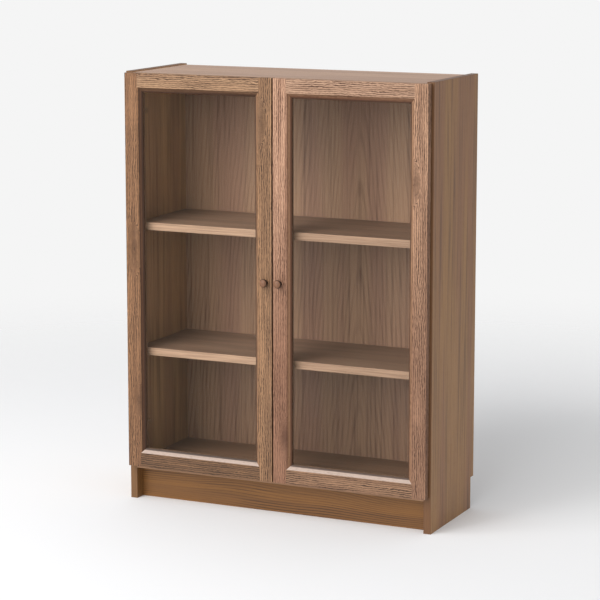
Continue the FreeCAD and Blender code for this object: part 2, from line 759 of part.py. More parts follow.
def eased_member(name, thing, outer):
    """Member with its outer front edge rounded; outer(box) tells that edge."""
    doc.recompute()
    front = thing.Shape.BoundBox.YMin

    def seen(edge):
        return edge.BoundBox.YMax < front + 0.01 and outer(edge, thing.Shape.BoundBox)

    return ease(name, thing, seen)


def build_door_frame():
    """Two stiles and two rails for each door, drilled for dowels, hinges and knob."""
    hinge_stile = cut("hinge_stile_drilled", door_stile("hinge"),
                      frame_dowel_holes(side="hinge") + hinge_cup_drillings())
    both_sides(eased_member(
        "hinge_stile_eased", hinge_stile,
        lambda edge, around: along_z(edge) and edge.BoundBox.XMin > around.XMax - 0.01,
    ), "door_stile_hinge")

    recess = rod("knob_screw_recess", "-Y", MEET_MIDDLE, DOOR_BACK, DOOR_MIDDLE,
                 "knob_screw_head_radius", "knob_screw_head_height")
    hole = rod("knob_screw_hole", "-Y", MEET_MIDDLE, DOOR_BACK, DOOR_MIDDLE,
               "knob_screw_radius", "door_thickness")
    meeting_stile = cut("meeting_stile_drilled", door_stile("meeting"),
                        frame_dowel_holes(side="meeting") + [recess, hole])
    both_sides(eased_member(
        "meeting_stile_eased", meeting_stile,
        lambda edge, around: along_z(edge) and edge.BoundBox.XMax < around.XMin + 0.01,
    ), "door_stile_meeting")

    for end in ("top", "bottom"):
        rail = cut(f"{end}_rail_drilled", door_rail(end), frame_dowel_holes(end=end))
        both_sides(rail, f"door_rail_{end}")

    dowels = [
        rod("frame_dowel", outward,
            f"{joint} {'-' if outward == '+X' else '+'} (frame_dowel_depth - dowel_slack)",
            MEMBER_CORE, height, "frame_dowel_radius", "2 * (frame_dowel_depth - dowel_slack)")
        for joint, outward, height in frame_dowel_places()
    ]
    both_sides(group("frame_dowel_set", dowels), "door_frame_dowels")


def build_glazing():
    """Pane in the rebate and the four beads that hold it from behind."""
    left = f"({DOOR_MEET} + {REBATE})"
    right = f"({DOOR_EDGE} - {REBATE})"
    low = f"(door_bottom + {REBATE})"
    high = f"(door_bottom + {DOOR_HEIGHT} - {REBATE})"
    pane = box("pane", f"{left} + glass_slack", GLASS_FACE, f"{low} + glass_slack",
               f"{right} - {left} - 2 * glass_slack", "glass_thickness",
               f"{high} - {low} - 2 * glass_slack")
    both_sides(pane, "door_glass")

    bar = "(rebate_width - bead_slack)"
    depth = f"{DOOR_BACK} - {GLASS_BACK}"
    tall = f"{high} - {low} - 2 * bead_slack"
    wide = f"{right} - {left} - 2 * rebate_width"
    beads = [
        box("bead", f"{left} + bead_slack", GLASS_BACK, f"{low} + bead_slack", bar, depth, tall),
        box("bead", f"{right} - rebate_width", GLASS_BACK, f"{low} + bead_slack", bar, depth, tall),
        box("bead", f"{left} + rebate_width", GLASS_BACK, f"{low} + bead_slack", wide, depth, bar),
        box("bead", f"{left} + rebate_width", GLASS_BACK, f"{high} - rebate_width",
            wide, depth, bar),
    ]
    both_sides(group("bead_set", beads), "door_glazing_beads")


def knob_profile(body):
    """Half profile of the knob: foot, waist, flared underside and domed head."""
    sheet = doc.getObject(SHEET)
    sketch = sketch_on(body, "knob_profile", "XY")
    foot, neck, head = sheet.knob_base_radius, sheet.knob_neck_radius, sheet.knob_radius
    neck_y, head_y, end_y = -sheet.knob_neck_height, -sheet.knob_head_height, -sheet.knob_length

    def at(x, y):
        return FreeCAD.Vector(x, y, 0)

    crown = head_y - end_y
    dome = (head ** 2 + crown ** 2) / (2 * crown)
    lean = math.asin(head / dome) / 2
    dome_middle = at(dome * math.sin(lean), end_y + dome * (1 - math.cos(lean)))
    sketch.addGeometry(Part.LineSegment(at(0, 0), at(foot, 0)), False)
    sketch.addGeometry(Part.LineSegment(at(foot, 0), at(neck, neck_y)), False)
    sketch.addGeometry(Part.LineSegment(at(neck, neck_y), at(head, head_y)), False)
    sketch.addGeometry(Part.Arc(at(head, head_y), dome_middle, at(0, end_y)), False)
    sketch.addGeometry(Part.LineSegment(at(0, end_y), at(0, 0)), False)
    return sketch


def tie_knob_profile(sketch):
    """Tie every point and the dome of the knob's half profile to the sheet."""
    ends = [[sketch.getPoint(index, end) for end in (1, 2)] for index in range(5)]
    first = []
    for index, (start, _) in enumerate(ends):
        before = ends[index - 1]
        first.append(1 if min(start.distanceToPoint(point) for point in before) < 1e-6 else 2)
    for index in range(5):
        other = (index + 1) % 5
        sketch.addConstraint(
            Sketcher.Constraint("Coincident", index, 3 - first[index], other, first[other])
        )
    hold_point(sketch, 0, first[0], "axis", "0", "0")
    hold_point(sketch, 1, first[1], "foot", "knob_base_radius", "0")
    hold_point(sketch, 2, first[2], "neck", "knob_neck_radius", "-knob_neck_height")
    hold_point(sketch, 3, first[3], "head", "knob_radius", "-knob_head_height")
    hold_point(sketch, 4, first[4], "crown", "0", "-knob_length")
    crown = "(knob_length - knob_head_height)"
    index = sketch.addConstraint(Sketcher.Constraint("Radius", 3, sketch.Geometry[3].Radius))
    sketch.renameConstraint(index, "dome")
    sketch.setExpression(
        "Constraints.dome", named(f"(knob_radius ^ 2 + {crown} ^ 2) / (2 * {crown})")
    )


def build_knobs():
    """Turned knob on the meeting stile, held by a screw from behind, and the screw."""
    body = new_body("knob_turning")
    sketch = knob_profile(body)
    tie_knob_profile(sketch)
    turned = body.newObject("PartDesign::Revolution", "knob_revolution")
    turned.Profile = sketch
    turned.ReferenceAxis = (sketch, ["V_Axis"])
    turned.Angle = 360
    body.Tip = turned
    bind(body, x=MEET_MIDDLE, y=DOOR_FACE, z=DOOR_MIDDLE)
    bore = rod("knob_bore", "-Y", MEET_MIDDLE, DOOR_FACE, DOOR_MIDDLE,
               "knob_screw_radius", "knob_screw_bite")
    both_sides(cut("knob_bored", body, [bore]), "knob")

    under_head = f"({DOOR_BACK} - knob_screw_head_height)"
    shank = rod("knob_screw_shank", "-Y", MEET_MIDDLE, under_head, DOOR_MIDDLE,
                "knob_screw_radius",
                "door_thickness - knob_screw_head_height + knob_screw_bite")
    head = rod("knob_screw_head", "+Y", MEET_MIDDLE, under_head, DOOR_MIDDLE,
               "knob_screw_head_radius", "knob_screw_head_height")
    slot = box("knob_screw_slot", f"{MEET_MIDDLE} - knob_screw_head_radius",
               f"{DOOR_BACK} - knob_screw_slot_depth",
               f"{DOOR_MIDDLE} - knob_screw_slot_width / 2",
               "2 * knob_screw_head_radius", "knob_screw_slot_depth", "knob_screw_slot_width")
    both_sides(cut("knob_screw_slotted", fuse("knob_screw_blank", [shank, head]), [slot]),
               "knob_screw")


def build_bumpers():
    """Two soft bumpers behind each door that meet the top and bottom panel edges."""
    bumpers = [
        rod("bumper", "+Y", MEET_MIDDLE, DOOR_BACK, f"({start} {up} bumper_edge)",
            "bumper_radius", "bumper_height")
        for start, up in door_heights().values()
    ]
    both_sides(group("bumper_set", bumpers), "door_bumpers")


# ---------------------------------------------------------------------------
# Hinges
# ---------------------------------------------------------------------------
HINGE_Z = "(door_bottom + hinge_from_end)"
HINGE_HEIGHTS = (HINGE_Z, "(carcass_height - door_top_drop - hinge_from_end)")
CUP_X = f"({DOOR_EDGE} - cup_from_edge)"
PIVOT_A = ("-pivot_a_in", "-pivot_a_behind")
PIVOT_B = ("-pivot_b_in", "pivot_b_before")
PIVOT_C = ("pivot_c_out", "pivot_c_before")
PIVOT_D = ("pivot_d_out", "pivot_d_before")
OPEN_EYE = ("(pivot_d_out + open_eye_out)", "(pivot_d_before + open_eye_before)")


def hinge_place(out, before):
    """Across and front-to-back place of a point given from the panel's front inner corner."""
    return f"({INNER} + ({out}))", f"({FRONT} - ({before}))"


def hinge_screw_places():
    """Front-to-back place and height of the plate screws in one side panel."""
    row = f"({FRONT} + (plate_front_behind + plate_back_behind) / 2)"
    return [
        (row, f"({height} {sign} plate_screw_spread)")
        for height in HINGE_HEIGHTS
        for sign in "+-"
    ]


def cup_screw_places():
    """Across place and height of the cup screws in one door."""
    return [
        (f"({CUP_X} - cup_screw_offset)", f"({height} {sign} cup_screw_spread)")
        for height in HINGE_HEIGHTS
        for sign in "+-"
    ]


def hinge_cup_drillings():
    """Cup drillings and screw holes in the back of a hinge stile."""
    tools = [
        rod("cup_drilling", "-Y", CUP_X, DOOR_BACK, height, "cup_radius", "cup_depth")
        for height in HINGE_HEIGHTS
    ]
    for across, height in cup_screw_places():
        tools.append(rod("cup_screw_hole", "-Y", across, DOOR_BACK, height,
                         "screw_radius", "cup_screw_bite"))
    return tools


def flip(source, name, height):
    """Twin of a piece above or below a level plane."""
    thing = doc.addObject("Part::Mirroring", name)
    thing.Source = source
    thing.Normal = Z_AXIS
    thing.setExpression("Base.z", named(height))
    return thing


def both_faces(piece, name):
    """A piece on one side of the hinge middle and its twin on the other."""
    return [piece, flip(piece, f"{name}_twin", HINGE_Z)]


def both_hinges(pieces, stem):
    """Pieces of the lower hinge and their twins in the upper one, as two nodes."""
    pieces = pieces + [flip(piece, f"{stem}_upper", DOOR_MIDDLE) for piece in pieces]
    both_sides(group(f"{stem}_set", pieces), stem)


def upright(name, place, radius, start, height):
    """Upright cylinder at a hinge place; start is its foot above the hinge middle."""
    across, row = hinge_place(*place)
    return rod(name, "+Z", across, row, f"{HINGE_Z} + ({start})", radius, height)


def hinge_block(name, out, before, half):
    """Box between two outward places and two forward places, centred on the hinge."""
    left, near = hinge_place(out[0], before[1])
    return box(name, left, near, f"{HINGE_Z} - {half}", f"({out[1]}) - ({out[0]})",
               f"({before[1]}) - ({before[0]})", f"2 * ({half})")


def bar(name, start, end, bow, half, low, height):
    """Bar of constant width from one pivot to another, bowed to its left by bow."""
    run = f"(({end[0]}) - ({start[0]}))"
    rise = f"(({end[1]}) - ({start[1]}))"
    span = f"sqrt({run} ^ 2 + {rise} ^ 2)"
    stations = (0, 0.25, 0.5, 0.75, 1) if bow != "0" else (0, 1)

    def corner(part, side):
        shift = f"({bow} * {4 * part * (1 - part)} {side} {half})"
        return hinge_place(
            f"{start[0]} + {part} * {run} - {rise} / {span} * {shift}",
            f"{start[1]} + {part} * {rise} + {run} / {span} * {shift}",
        )

    corners = [corner(part, "-") for part in stations]
    corners += [corner(part, "+") for part in reversed(stations)]
    body = new_body(name)
    pad(body, outline(body, f"{name}_outline", "XY", corners, f"{HINGE_Z} + ({low})"), height)
    return body


def build_hinge_plates():
    """Plate and block on the side panel, its two wood screws and the arm screw."""
    wings = hinge_block("plate_wings", ("-plate_sheet", "0"),
                        ("-plate_back_behind", "-plate_front_behind"), "plate_half_height")
    block = hinge_block("plate_block", ("-(arm_face_in - arm_web_sheet)", "-plate_sheet"),
                        ("-plate_block_back", "-plate_block_front"), "inner_link_half")
    surface = f"({INNER} - plate_sheet)"
    row = hinge_screw_places()[0][0]
    holes = [
        rod("plate_hole", "+X", surface, row, f"({HINGE_Z} {sign} plate_screw_spread)",
            "screw_radius", "plate_sheet")
        for sign in "+-"
    ]
    arm_screw = (f"({INNER} - arm_face_in)", f"({FRONT} + arm_screw_behind)", HINGE_Z)
    holes.append(rod("arm_screw_bore", "+X", *arm_screw, "arm_screw_radius",
                     "arm_face_in - plate_sheet"))
    both_hinges([cut("plate", fuse("plate_blank", [wings, block]), holes)], "hinge_plates")

    screws = []
    for sign in "+-":
        height = f"({HINGE_Z} {sign} plate_screw_spread)"
        shank = rod("plate_screw_shank", "+X", surface, row, height, "screw_radius",
                    "plate_sheet + plate_screw_bite")
        head = rod("plate_screw_head", "-X", surface, row, height, "screw_head_radius",
                   "screw_head_height")
        screws.append(fuse("plate_screw", [shank, head]))
    both_hinges(screws, "hinge_plate_screws")

    shank = rod("arm_screw_shank", "+X", *arm_screw, "arm_screw_radius",
                "arm_face_in - plate_sheet")
    head = rod("arm_screw_head", "-X", *arm_screw, "arm_screw_head_radius",
               "arm_screw_head_height")
    both_hinges([fuse("arm_screw", [shank, head])], "hinge_arm_screws")


def build_hinge_arms():
    """Arm of two cheeks and a web, forked to the two pivots, and its pivot pins."""
    fork = ("-arm_bend_in", "-arm_bend_behind")
    layer = ("arm_cheek_inner", "arm_sheet")
    left, near = hinge_place("-arm_face_in", "-arm_bend_behind + arm_neck_half")
    foot = box("arm_foot", left, near, f"{HINGE_Z} + arm_cheek_inner",
               "arm_face_in - arm_skirt_in",
               "arm_tail_behind - arm_bend_behind + arm_neck_half", "arm_sheet")
    cheek = fuse("arm_cheek", [
        foot,
        bar("arm_neck", fork, PIVOT_B, "0", "arm_neck_half", *layer),
        bar("arm_branch", fork, PIVOT_A, "0", "link_eye_radius", *layer),
        upright("arm_eye_a", PIVOT_A, "link_eye_radius", *layer),
        upright("arm_eye_b", PIVOT_B, "arm_neck_half", *layer),
    ])
    cheeks = both_faces(cheek, "arm_cheek")
    web = hinge_block("arm_web", ("-arm_face_in", "-(arm_face_in - arm_web_sheet)"),
                      ("-arm_tail_behind", "-arm_web_behind"),
                      "(arm_cheek_inner + arm_sheet)")
    outer = "(arm_cheek_inner + arm_sheet)"
    holes = [
        upright(f"arm_hole_{letter}", place, "pivot_pin_radius", f"-{outer}", f"2 * {outer}")
        for letter, place in (("a", PIVOT_A), ("b", PIVOT_B))
    ]
    holes.append(rod("arm_web_hole", "+X", f"({INNER} - arm_face_in)",
                     f"({FRONT} + arm_screw_behind)", HINGE_Z, "arm_screw_radius",
                     "arm_web_sheet"))
    both_hinges([cut("arm", fuse("arm_blank", cheeks + [web]), holes)], "hinge_arms")

    long_half = "(outer_link_inner + outer_link_sheet + pin_head)"
    pins = [
        upright("arm_pin_a", PIVOT_A, "pivot_pin_radius", f"-{long_half}", f"2 * {long_half}"),
        upright("arm_pin_b", PIVOT_B, "pivot_pin_radius", f"-{outer}", f"2 * {outer}"),
    ]
    both_hinges(pins, "hinge_arm_pins")


def build_hinge_links():
    """Outer link of two plates and the inner link with its open eye on the cup pin."""
    layer = ("outer_link_inner", "outer_link_sheet")
    plate = cut("outer_link", fuse("outer_link_blank", [
        bar("outer_link_bar", PIVOT_A, PIVOT_C, "outer_link_bow", "link_half_width", *layer),
        upright("outer_link_eye_a", PIVOT_A, "link_eye_radius", *layer),
        upright("outer_link_eye_c", PIVOT_C, "link_eye_radius", *layer),
    ]), [
        upright("outer_link_hole_a", PIVOT_A, "pivot_pin_radius + pivot_slack", *layer),
        upright("outer_link_hole_c", PIVOT_C, "pivot_pin_radius + pivot_slack", *layer),
    ])
    both_hinges(both_faces(plate, "outer_link"), "hinge_outer_links")

    layer = ("-inner_link_half", "2 * inner_link_half")
    link = cut("inner_link", fuse("inner_link_blank", [
        bar("inner_link_bar", PIVOT_B, OPEN_EYE, "inner_link_bow", "link_half_width", *layer),
        upright("inner_link_eye_b", PIVOT_B, "link_eye_radius", *layer),
        upright("inner_link_eye_d", OPEN_EYE,
                "pivot_pin_radius + open_eye_play + open_eye_rim", *layer),
    ]), [
        upright("inner_link_hole_b", PIVOT_B, "pivot_pin_radius + pivot_slack", *layer),
        upright("inner_link_hole_d", OPEN_EYE, "pivot_pin_radius + open_eye_play", *layer),
    ])
    both_hinges([link], "hinge_inner_links")


def build_hinge_cups():
    """Cup in the door with two wings and two ears, its screws and its pivot pins."""
    shell = rod("cup_shell", "-Y", CUP_X, DOOR_BACK, HINGE_Z, "cup_radius", "cup_depth")
    pocket = rod("cup_pocket", "-Y", CUP_X, DOOR_BACK, HINGE_Z, "cup_radius - cup_wall",
                 "cup_depth - cup_floor")
    middle = f"({CUP_X} - cup_screw_offset)"
    wing = box("cup_wing", f"{middle} - cup_wing_half", DOOR_BACK,
               f"{HINGE_Z} + cup_wing_start", "2 * cup_wing_half", "cup_wing_sheet",
               "cup_wing_end - cup_wing_start")
    left, near = hinge_place("cup_ear_out - cup_ear_width",
                             "door_gap + cup_depth - cup_floor")
    ear = box("cup_ear", left, near, f"{HINGE_Z} + cup_ear_inner", "cup_ear_width",
              "cup_depth - cup_floor + cup_ear_lift", "cup_ear_sheet")
    outer = "(cup_ear_inner + cup_ear_sheet)"
    holes = [
        upright("cup_hole_c", PIVOT_C, "pivot_pin_radius", f"-{outer}", f"2 * {outer}"),
        upright("cup_hole_d", PIVOT_D, "pivot_pin_radius", f"-{outer}", f"2 * {outer}"),
    ]
    holes += [
        rod("cup_wing_hole", "+Y", middle, DOOR_BACK, f"({HINGE_Z} {sign} cup_screw_spread)",
            "screw_radius", "cup_wing_sheet")
        for sign in "+-"
    ]
    blank = fuse("cup_blank", [cut("cup_bowl", shell, [pocket])]
                 + both_faces(wing, "cup_wing") + both_faces(ear, "cup_ear"))
    both_hinges([cut("cup", blank, holes)], "hinge_cups")

    screws = []
    for sign in "+-":
        place = (middle, f"({DOOR_BACK} + cup_wing_sheet)",
                 f"({HINGE_Z} {sign} cup_screw_spread)")
        screws.append(fuse("cup_screw", [
            rod("cup_screw_shank", "-Y", *place, "screw_radius",
                "cup_wing_sheet + cup_screw_bite"),
            rod("cup_screw_head", "+Y", *place, "screw_head_radius", "screw_head_height"),
        ]))
    both_hinges(screws, "hinge_cup_screws")

    stub = upright("cup_pin_c", PIVOT_C, "pivot_pin_radius", "outer_link_inner",
                   f"{outer} - outer_link_inner")
    pins = both_faces(stub, "cup_pin_c")
    pins.append(upright("cup_pin_d", PIVOT_D, "pivot_pin_radius", f"-{outer}", f"2 * {outer}"))
    both_hinges(pins, "hinge_cup_pins")


# ---------------------------------------------------------------------------
# The whole bookcase
# ---------------------------------------------------------------------------
def check_and_export():
    """Stop on any failed object or bad shape, then write one file for each node."""
    doc.recompute()
    faults = [
        thing.Name for thing in doc.Objects
        if "Invalid" in thing.State or "Error" in thing.State
    ]
    for label, thing in nodes.items():
        shape = thing.Shape
        if shape.isNull() or not shape.isValid() or not shape.Solids or shape.Volume <= 0:
            faults.append(label)
    if faults:
        raise RuntimeError(f"failed objects: {sorted(set(faults))}")
    os.makedirs(FOLDER, exist_ok=True)
    for label, thing in nodes.items():
        thing.Shape.exportStep(os.path.join(FOLDER, f"{label}.step"))
        around = thing.Shape.BoundBox
        print(f"{label:26s} solids {len(thing.Shape.Solids):3d}  "
              f"x {around.XMin:8.2f} {around.XMax:8.2f}  y {around.YMin:8.2f} {around.YMax:8.2f}  "
              f"z {around.ZMin:8.2f} {around.ZMax:8.2f}")


build_sheet()
build_boards()
build_shelf_pins()
build_cams()
build_dowels()
build_nails()
build_door_frame()
build_glazing()
build_knobs()
build_bumpers()
build_hinge_plates()
build_hinge_arms()
build_hinge_links()
build_hinge_cups()
check_and_export()
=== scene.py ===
"""Bookcase with glass doors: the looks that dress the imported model.

Lengths are metres in the frame of the model: +Z up, the doors face -Y, the floor
is z = 0 and X = 0 is the middle of the carcass.
"""

import logging
import math
from collections.abc import Iterable, Sequence
from dataclasses import dataclass
from enum import Enum

import bmesh
import bpy
from mathutils import Matrix, Vector


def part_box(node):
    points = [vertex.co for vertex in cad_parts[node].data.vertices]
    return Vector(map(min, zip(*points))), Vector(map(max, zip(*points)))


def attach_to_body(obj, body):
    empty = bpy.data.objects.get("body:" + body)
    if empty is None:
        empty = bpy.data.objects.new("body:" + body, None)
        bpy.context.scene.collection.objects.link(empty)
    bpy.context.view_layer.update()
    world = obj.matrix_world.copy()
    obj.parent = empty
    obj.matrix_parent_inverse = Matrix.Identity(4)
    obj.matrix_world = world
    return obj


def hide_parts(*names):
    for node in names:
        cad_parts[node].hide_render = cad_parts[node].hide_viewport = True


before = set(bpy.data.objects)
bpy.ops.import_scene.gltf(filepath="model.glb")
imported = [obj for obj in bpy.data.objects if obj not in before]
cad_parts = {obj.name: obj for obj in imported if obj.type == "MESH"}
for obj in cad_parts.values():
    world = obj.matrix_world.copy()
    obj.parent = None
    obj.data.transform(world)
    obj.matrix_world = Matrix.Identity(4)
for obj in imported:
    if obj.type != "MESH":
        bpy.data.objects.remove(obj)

LOG = logging.getLogger("bookcase")
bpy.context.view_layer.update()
MM = 0.001

Colour = tuple[float, float, float, float]
Triple = tuple[float, float, float]
Tone = tuple[int, int, int]


def paint(red: int, green: int, blue: int) -> Colour:
    """Turns an sRGB tone into the amounts of light that a shader mixes.

    Args:
        red: Red of the tone, 0 to 255.
        green: Green of the tone, 0 to 255.
        blue: Blue of the tone, 0 to 255.

    Returns:
        The linear colour with full cover.
    """
    parts = [level / 255 for level in (red, green, blue)]
    light = [p / 12.92 if p <= 0.04045 else ((p + 0.055) / 1.055) ** 2.4 for p in parts]
    return (light[0], light[1], light[2], 1.0)


# ---------------------------------------------------------------------------
# Node trees as expressions
# ---------------------------------------------------------------------------
class Value:
    """A socket that adds Math nodes to its tree when it is reckoned with."""

    def __init__(self, work: "NodeWork", socket: bpy.types.NodeSocket) -> None:
        """Wraps one output socket of the tree that work writes."""
        self.work = work
        self.socket = socket

    def _sum(self, operation: str, first: "Input", second: "Input") -> "Value":
        """Adds one Math node for an operation on two values."""
        return self.work.node("ShaderNodeMath", {"operation": operation}, {0: first, 1: second})

    def __add__(self, other: "Input") -> "Value":
        """Value plus other."""
        return self._sum("ADD", self, other)

    def __radd__(self, other: "Input") -> "Value":
        """Other plus value."""
        return self._sum("ADD", other, self)

    def __sub__(self, other: "Input") -> "Value":
        """Value less other."""
        return self._sum("SUBTRACT", self, other)

    def __rsub__(self, other: "Input") -> "Value":
        """Other less value."""
        return self._sum("SUBTRACT", other, self)

    def __mul__(self, other: "Input") -> "Value":
        """Value times other."""
        return self._sum("MULTIPLY", self, other)

    def __rmul__(self, other: "Input") -> "Value":
        """Other times value."""
        return self._sum("MULTIPLY", other, self)

    def __truediv__(self, other: "Input") -> "Value":
        """Value over other."""
        return self._sum("DIVIDE", self, other)

    def __rtruediv__(self, other: "Input") -> "Value":
        """Other over value."""
        return self._sum("DIVIDE", other, self)

    def __pow__(self, other: "Input") -> "Value":
        """Value to the power of other."""
        return self._sum("POWER", self, other)

    def __abs__(self) -> "Value":
        """Value without its sign."""
        return self._sum("ABSOLUTE", self, 0.0)

    def sine(self) -> "Value":
        """Sine of the value in radians."""
        return self._sum("SINE", self, 0.0)


Input = Value | float | int | bool | str | Sequence[float] | bpy.types.Material


class NodeWork:
    """Writer of one node tree."""

    def __init__(self, tree: bpy.types.NodeTree) -> None:
        """Starts on an empty tree."""
        self.tree = tree

    def node(
        self,
        kind: str,
        settings: dict[str, object] | None = None,
        inputs: dict[int | str, object] | None = None,
        output: int | str = 0,
    ) -> Value:
        """Adds a node of any type.

        Args:
            kind: Type name of the node.
            settings: Properties that are set first, such as the operation.
            inputs: Values or links of its sockets, by number or name. A list of
                values goes into a socket that takes several links.
            output: The output to return, by number or name.

        Returns:
            The chosen output.
        """
        made = self.tree.nodes.new(kind)
        for name, setting in (settings or {}).items():
            setattr(made, name, setting)
        for key, given in (inputs or {}).items():
            for one in given if isinstance(given, list) else [given]:
                if isinstance(one, Value):
                    self.tree.links.new(one.socket, made.inputs[key])
                else:
                    made.inputs[key].default_value = one
        return Value(self, made.outputs[output])

    def end_in(self, kind: str, result: Value) -> None:
        """Ends the tree in an output node.

        Args:
            kind: Type name of the output node.
            result: What goes into its first socket.
        """
        end = self.tree.nodes.new(kind)
        self.tree.links.new(result.socket, end.inputs[0])


# ---------------------------------------------------------------------------
# Finishes
# ---------------------------------------------------------------------------
class Grain(Enum):
    """The way that a board's grain runs, as the number of its axis."""

    LEVEL = 0
    DEEP = 1
    UPRIGHT = 2


class Surface(NodeWork):
    """One material and the patterns that wood, metal and glass share."""

    def __init__(self, name: str) -> None:
        """Starts a material with an empty tree.

        Args:
            name: Name of the material.
        """
        self.material = bpy.data.materials.new(name)
        self.material.use_nodes = True
        self.material.node_tree.nodes.clear()
        super().__init__(self.material.node_tree)
        self.here = self.node("ShaderNodeTexCoord", output="Object")

    def axis(self, number: int) -> Value:
        """One coordinate of the point, in metres."""
        return self.node("ShaderNodeSeparateXYZ", {}, {0: self.here}, number)

    def stretched(self, grain: Grain, across: float, along: float, shift: float = 0.0) -> Value:
        """Coordinates for a pattern that is drawn out along the grain.

        Args:
            grain: The way of the grain.
            across: Pattern cells per metre across the grain.
            along: Pattern cells per metre along the grain.
            shift: Moves the pattern to another stretch of wood.

        Returns:
            The scaled coordinates.
        """
        scale = [across] * 3
        scale[grain.value] = along
        return self.node(
            "ShaderNodeVectorMath", {"operation": "MULTIPLY_ADD"},
            {0: self.here, 1: tuple(scale), 2: (shift, shift * 1.7, shift * 2.3)},
        )

    def noise(
        self, place: Value, detail: float = 2.0, rough: float = 0.5, twist: float = 0.0
    ) -> Value:
        """Soft noise from 0 to 1.

        Args:
            place: Scaled coordinates.
            detail: How many finer layers it has.
            rough: Share of each finer layer.
            twist: How far the pattern is swirled.

        Returns:
            The noise.
        """
        return self.node(
            "ShaderNodeTexNoise", {},
            {"Vector": place, "Scale": 1.0, "Detail": detail, "Roughness": rough,
             "Distortion": twist},
        )

    def ease(self, value: Value, start: float, end: float) -> Value:
        """Smooth step.

        Args:
            value: What is stepped.
            start: Value that gives 0.
            end: Value that gives 1.

        Returns:
            The step, from 0 to 1.
        """
        return self.node(
            "ShaderNodeMapRange", {"interpolation_type": "SMOOTHSTEP"},
            {0: value, 1: start, 2: end, 3: 0.0, 4: 1.0},
        )

    def mix(self, share: Input, first: Input, second: Input) -> Value:
        """Lays one colour over another.

        Args:
            share: Share of the second colour, 0 to 1.
            first: Colour below.
            second: Colour above.

        Returns:
            The mixed colour.
        """
        return self.node(
            "ShaderNodeMix", {"data_type": "RGBA"}, {0: share, 6: first, 7: second}, 2
        )

    def close(
        self,
        colour: Input,
        roughness: Input,
        height: Value | None = None,
        relief: float = 0.0,
        alpha: Input = 1.0,
        **fixed: float,
    ) -> bpy.types.Material:
        """Ends the tree in one principled shader.

        Args:
            colour: Base colour.
            roughness: Roughness.
            height: Relief pattern from 0 to 1, if there is any.
            relief: Depth of the relief in metres.
            alpha: Cover, 1 for a solid surface.
            fixed: Other sockets of the shader by name, with _ for a space.

        Returns:
            The finished material.
        """
        sockets: dict[int | str, object] = {
            "Base Color": colour, "Roughness": roughness, "Alpha": alpha,
        }
        sockets |= {name.replace("_", " "): value for name, value in fixed.items()}
        if height is not None:
            sockets["Normal"] = self.node(
                "ShaderNodeBump", {}, {"Strength": 1.0, "Distance": relief, "Height": height}
            )
        shader = self.node("ShaderNodeBsdfPrincipled", {}, sockets)
        self.end_in("ShaderNodeOutputMaterial", shader)
        return self.material


@dataclass(frozen=True)
class EdgeBand:
    """A strip of another look on the faces of a board past one plane.

    Attributes:
        axis: Number of the axis that the plane stands on.
        place: The plane, in metres.
        beyond: True for the side with the higher coordinates.
        tone: Colour of the strip.
        speckle: Share of dark chips, as in a raw board edge.
        chips: Chips per metre.
        below: Height that the strip stays under, in metres, if there is one.
        soft: Width over which the strip begins, in metres.
    """

    axis: int
    place: float
    beyond: bool
    tone: Colour
    speckle: float = 0.0
    chips: float = 330.0
    below: float | None = None
    soft: float = 0.0002

    def share(self, work: Surface) -> Value:
        """Mask of the strip.

        Args:
            work: The material that is written.

        Returns:
            1 on the strip and 0 beside it.
        """
        inside = self.place - self.soft
        start, end = (inside, self.place) if self.beyond else (self.place, inside)
        share = work.ease(work.axis(self.axis), start, end)
        if self.below is None:
            return share
        return share * (1 - work.ease(work.axis(2), self.below - self.soft, self.below))


@dataclass(frozen=True)
class Figure:
    """Nested arches of a flat-sawn board.

    Attributes:
        axis: Number of the axis across the arches.
        centre: Middle line of the arches on that axis, in metres.
        roundness: Width of an arch's top, in metres.
        slope: How steeply the arches follow one another along the grain.
    """

    axis: int
    centre: float
    roundness: float = 0.012
    slope: float = 0.11


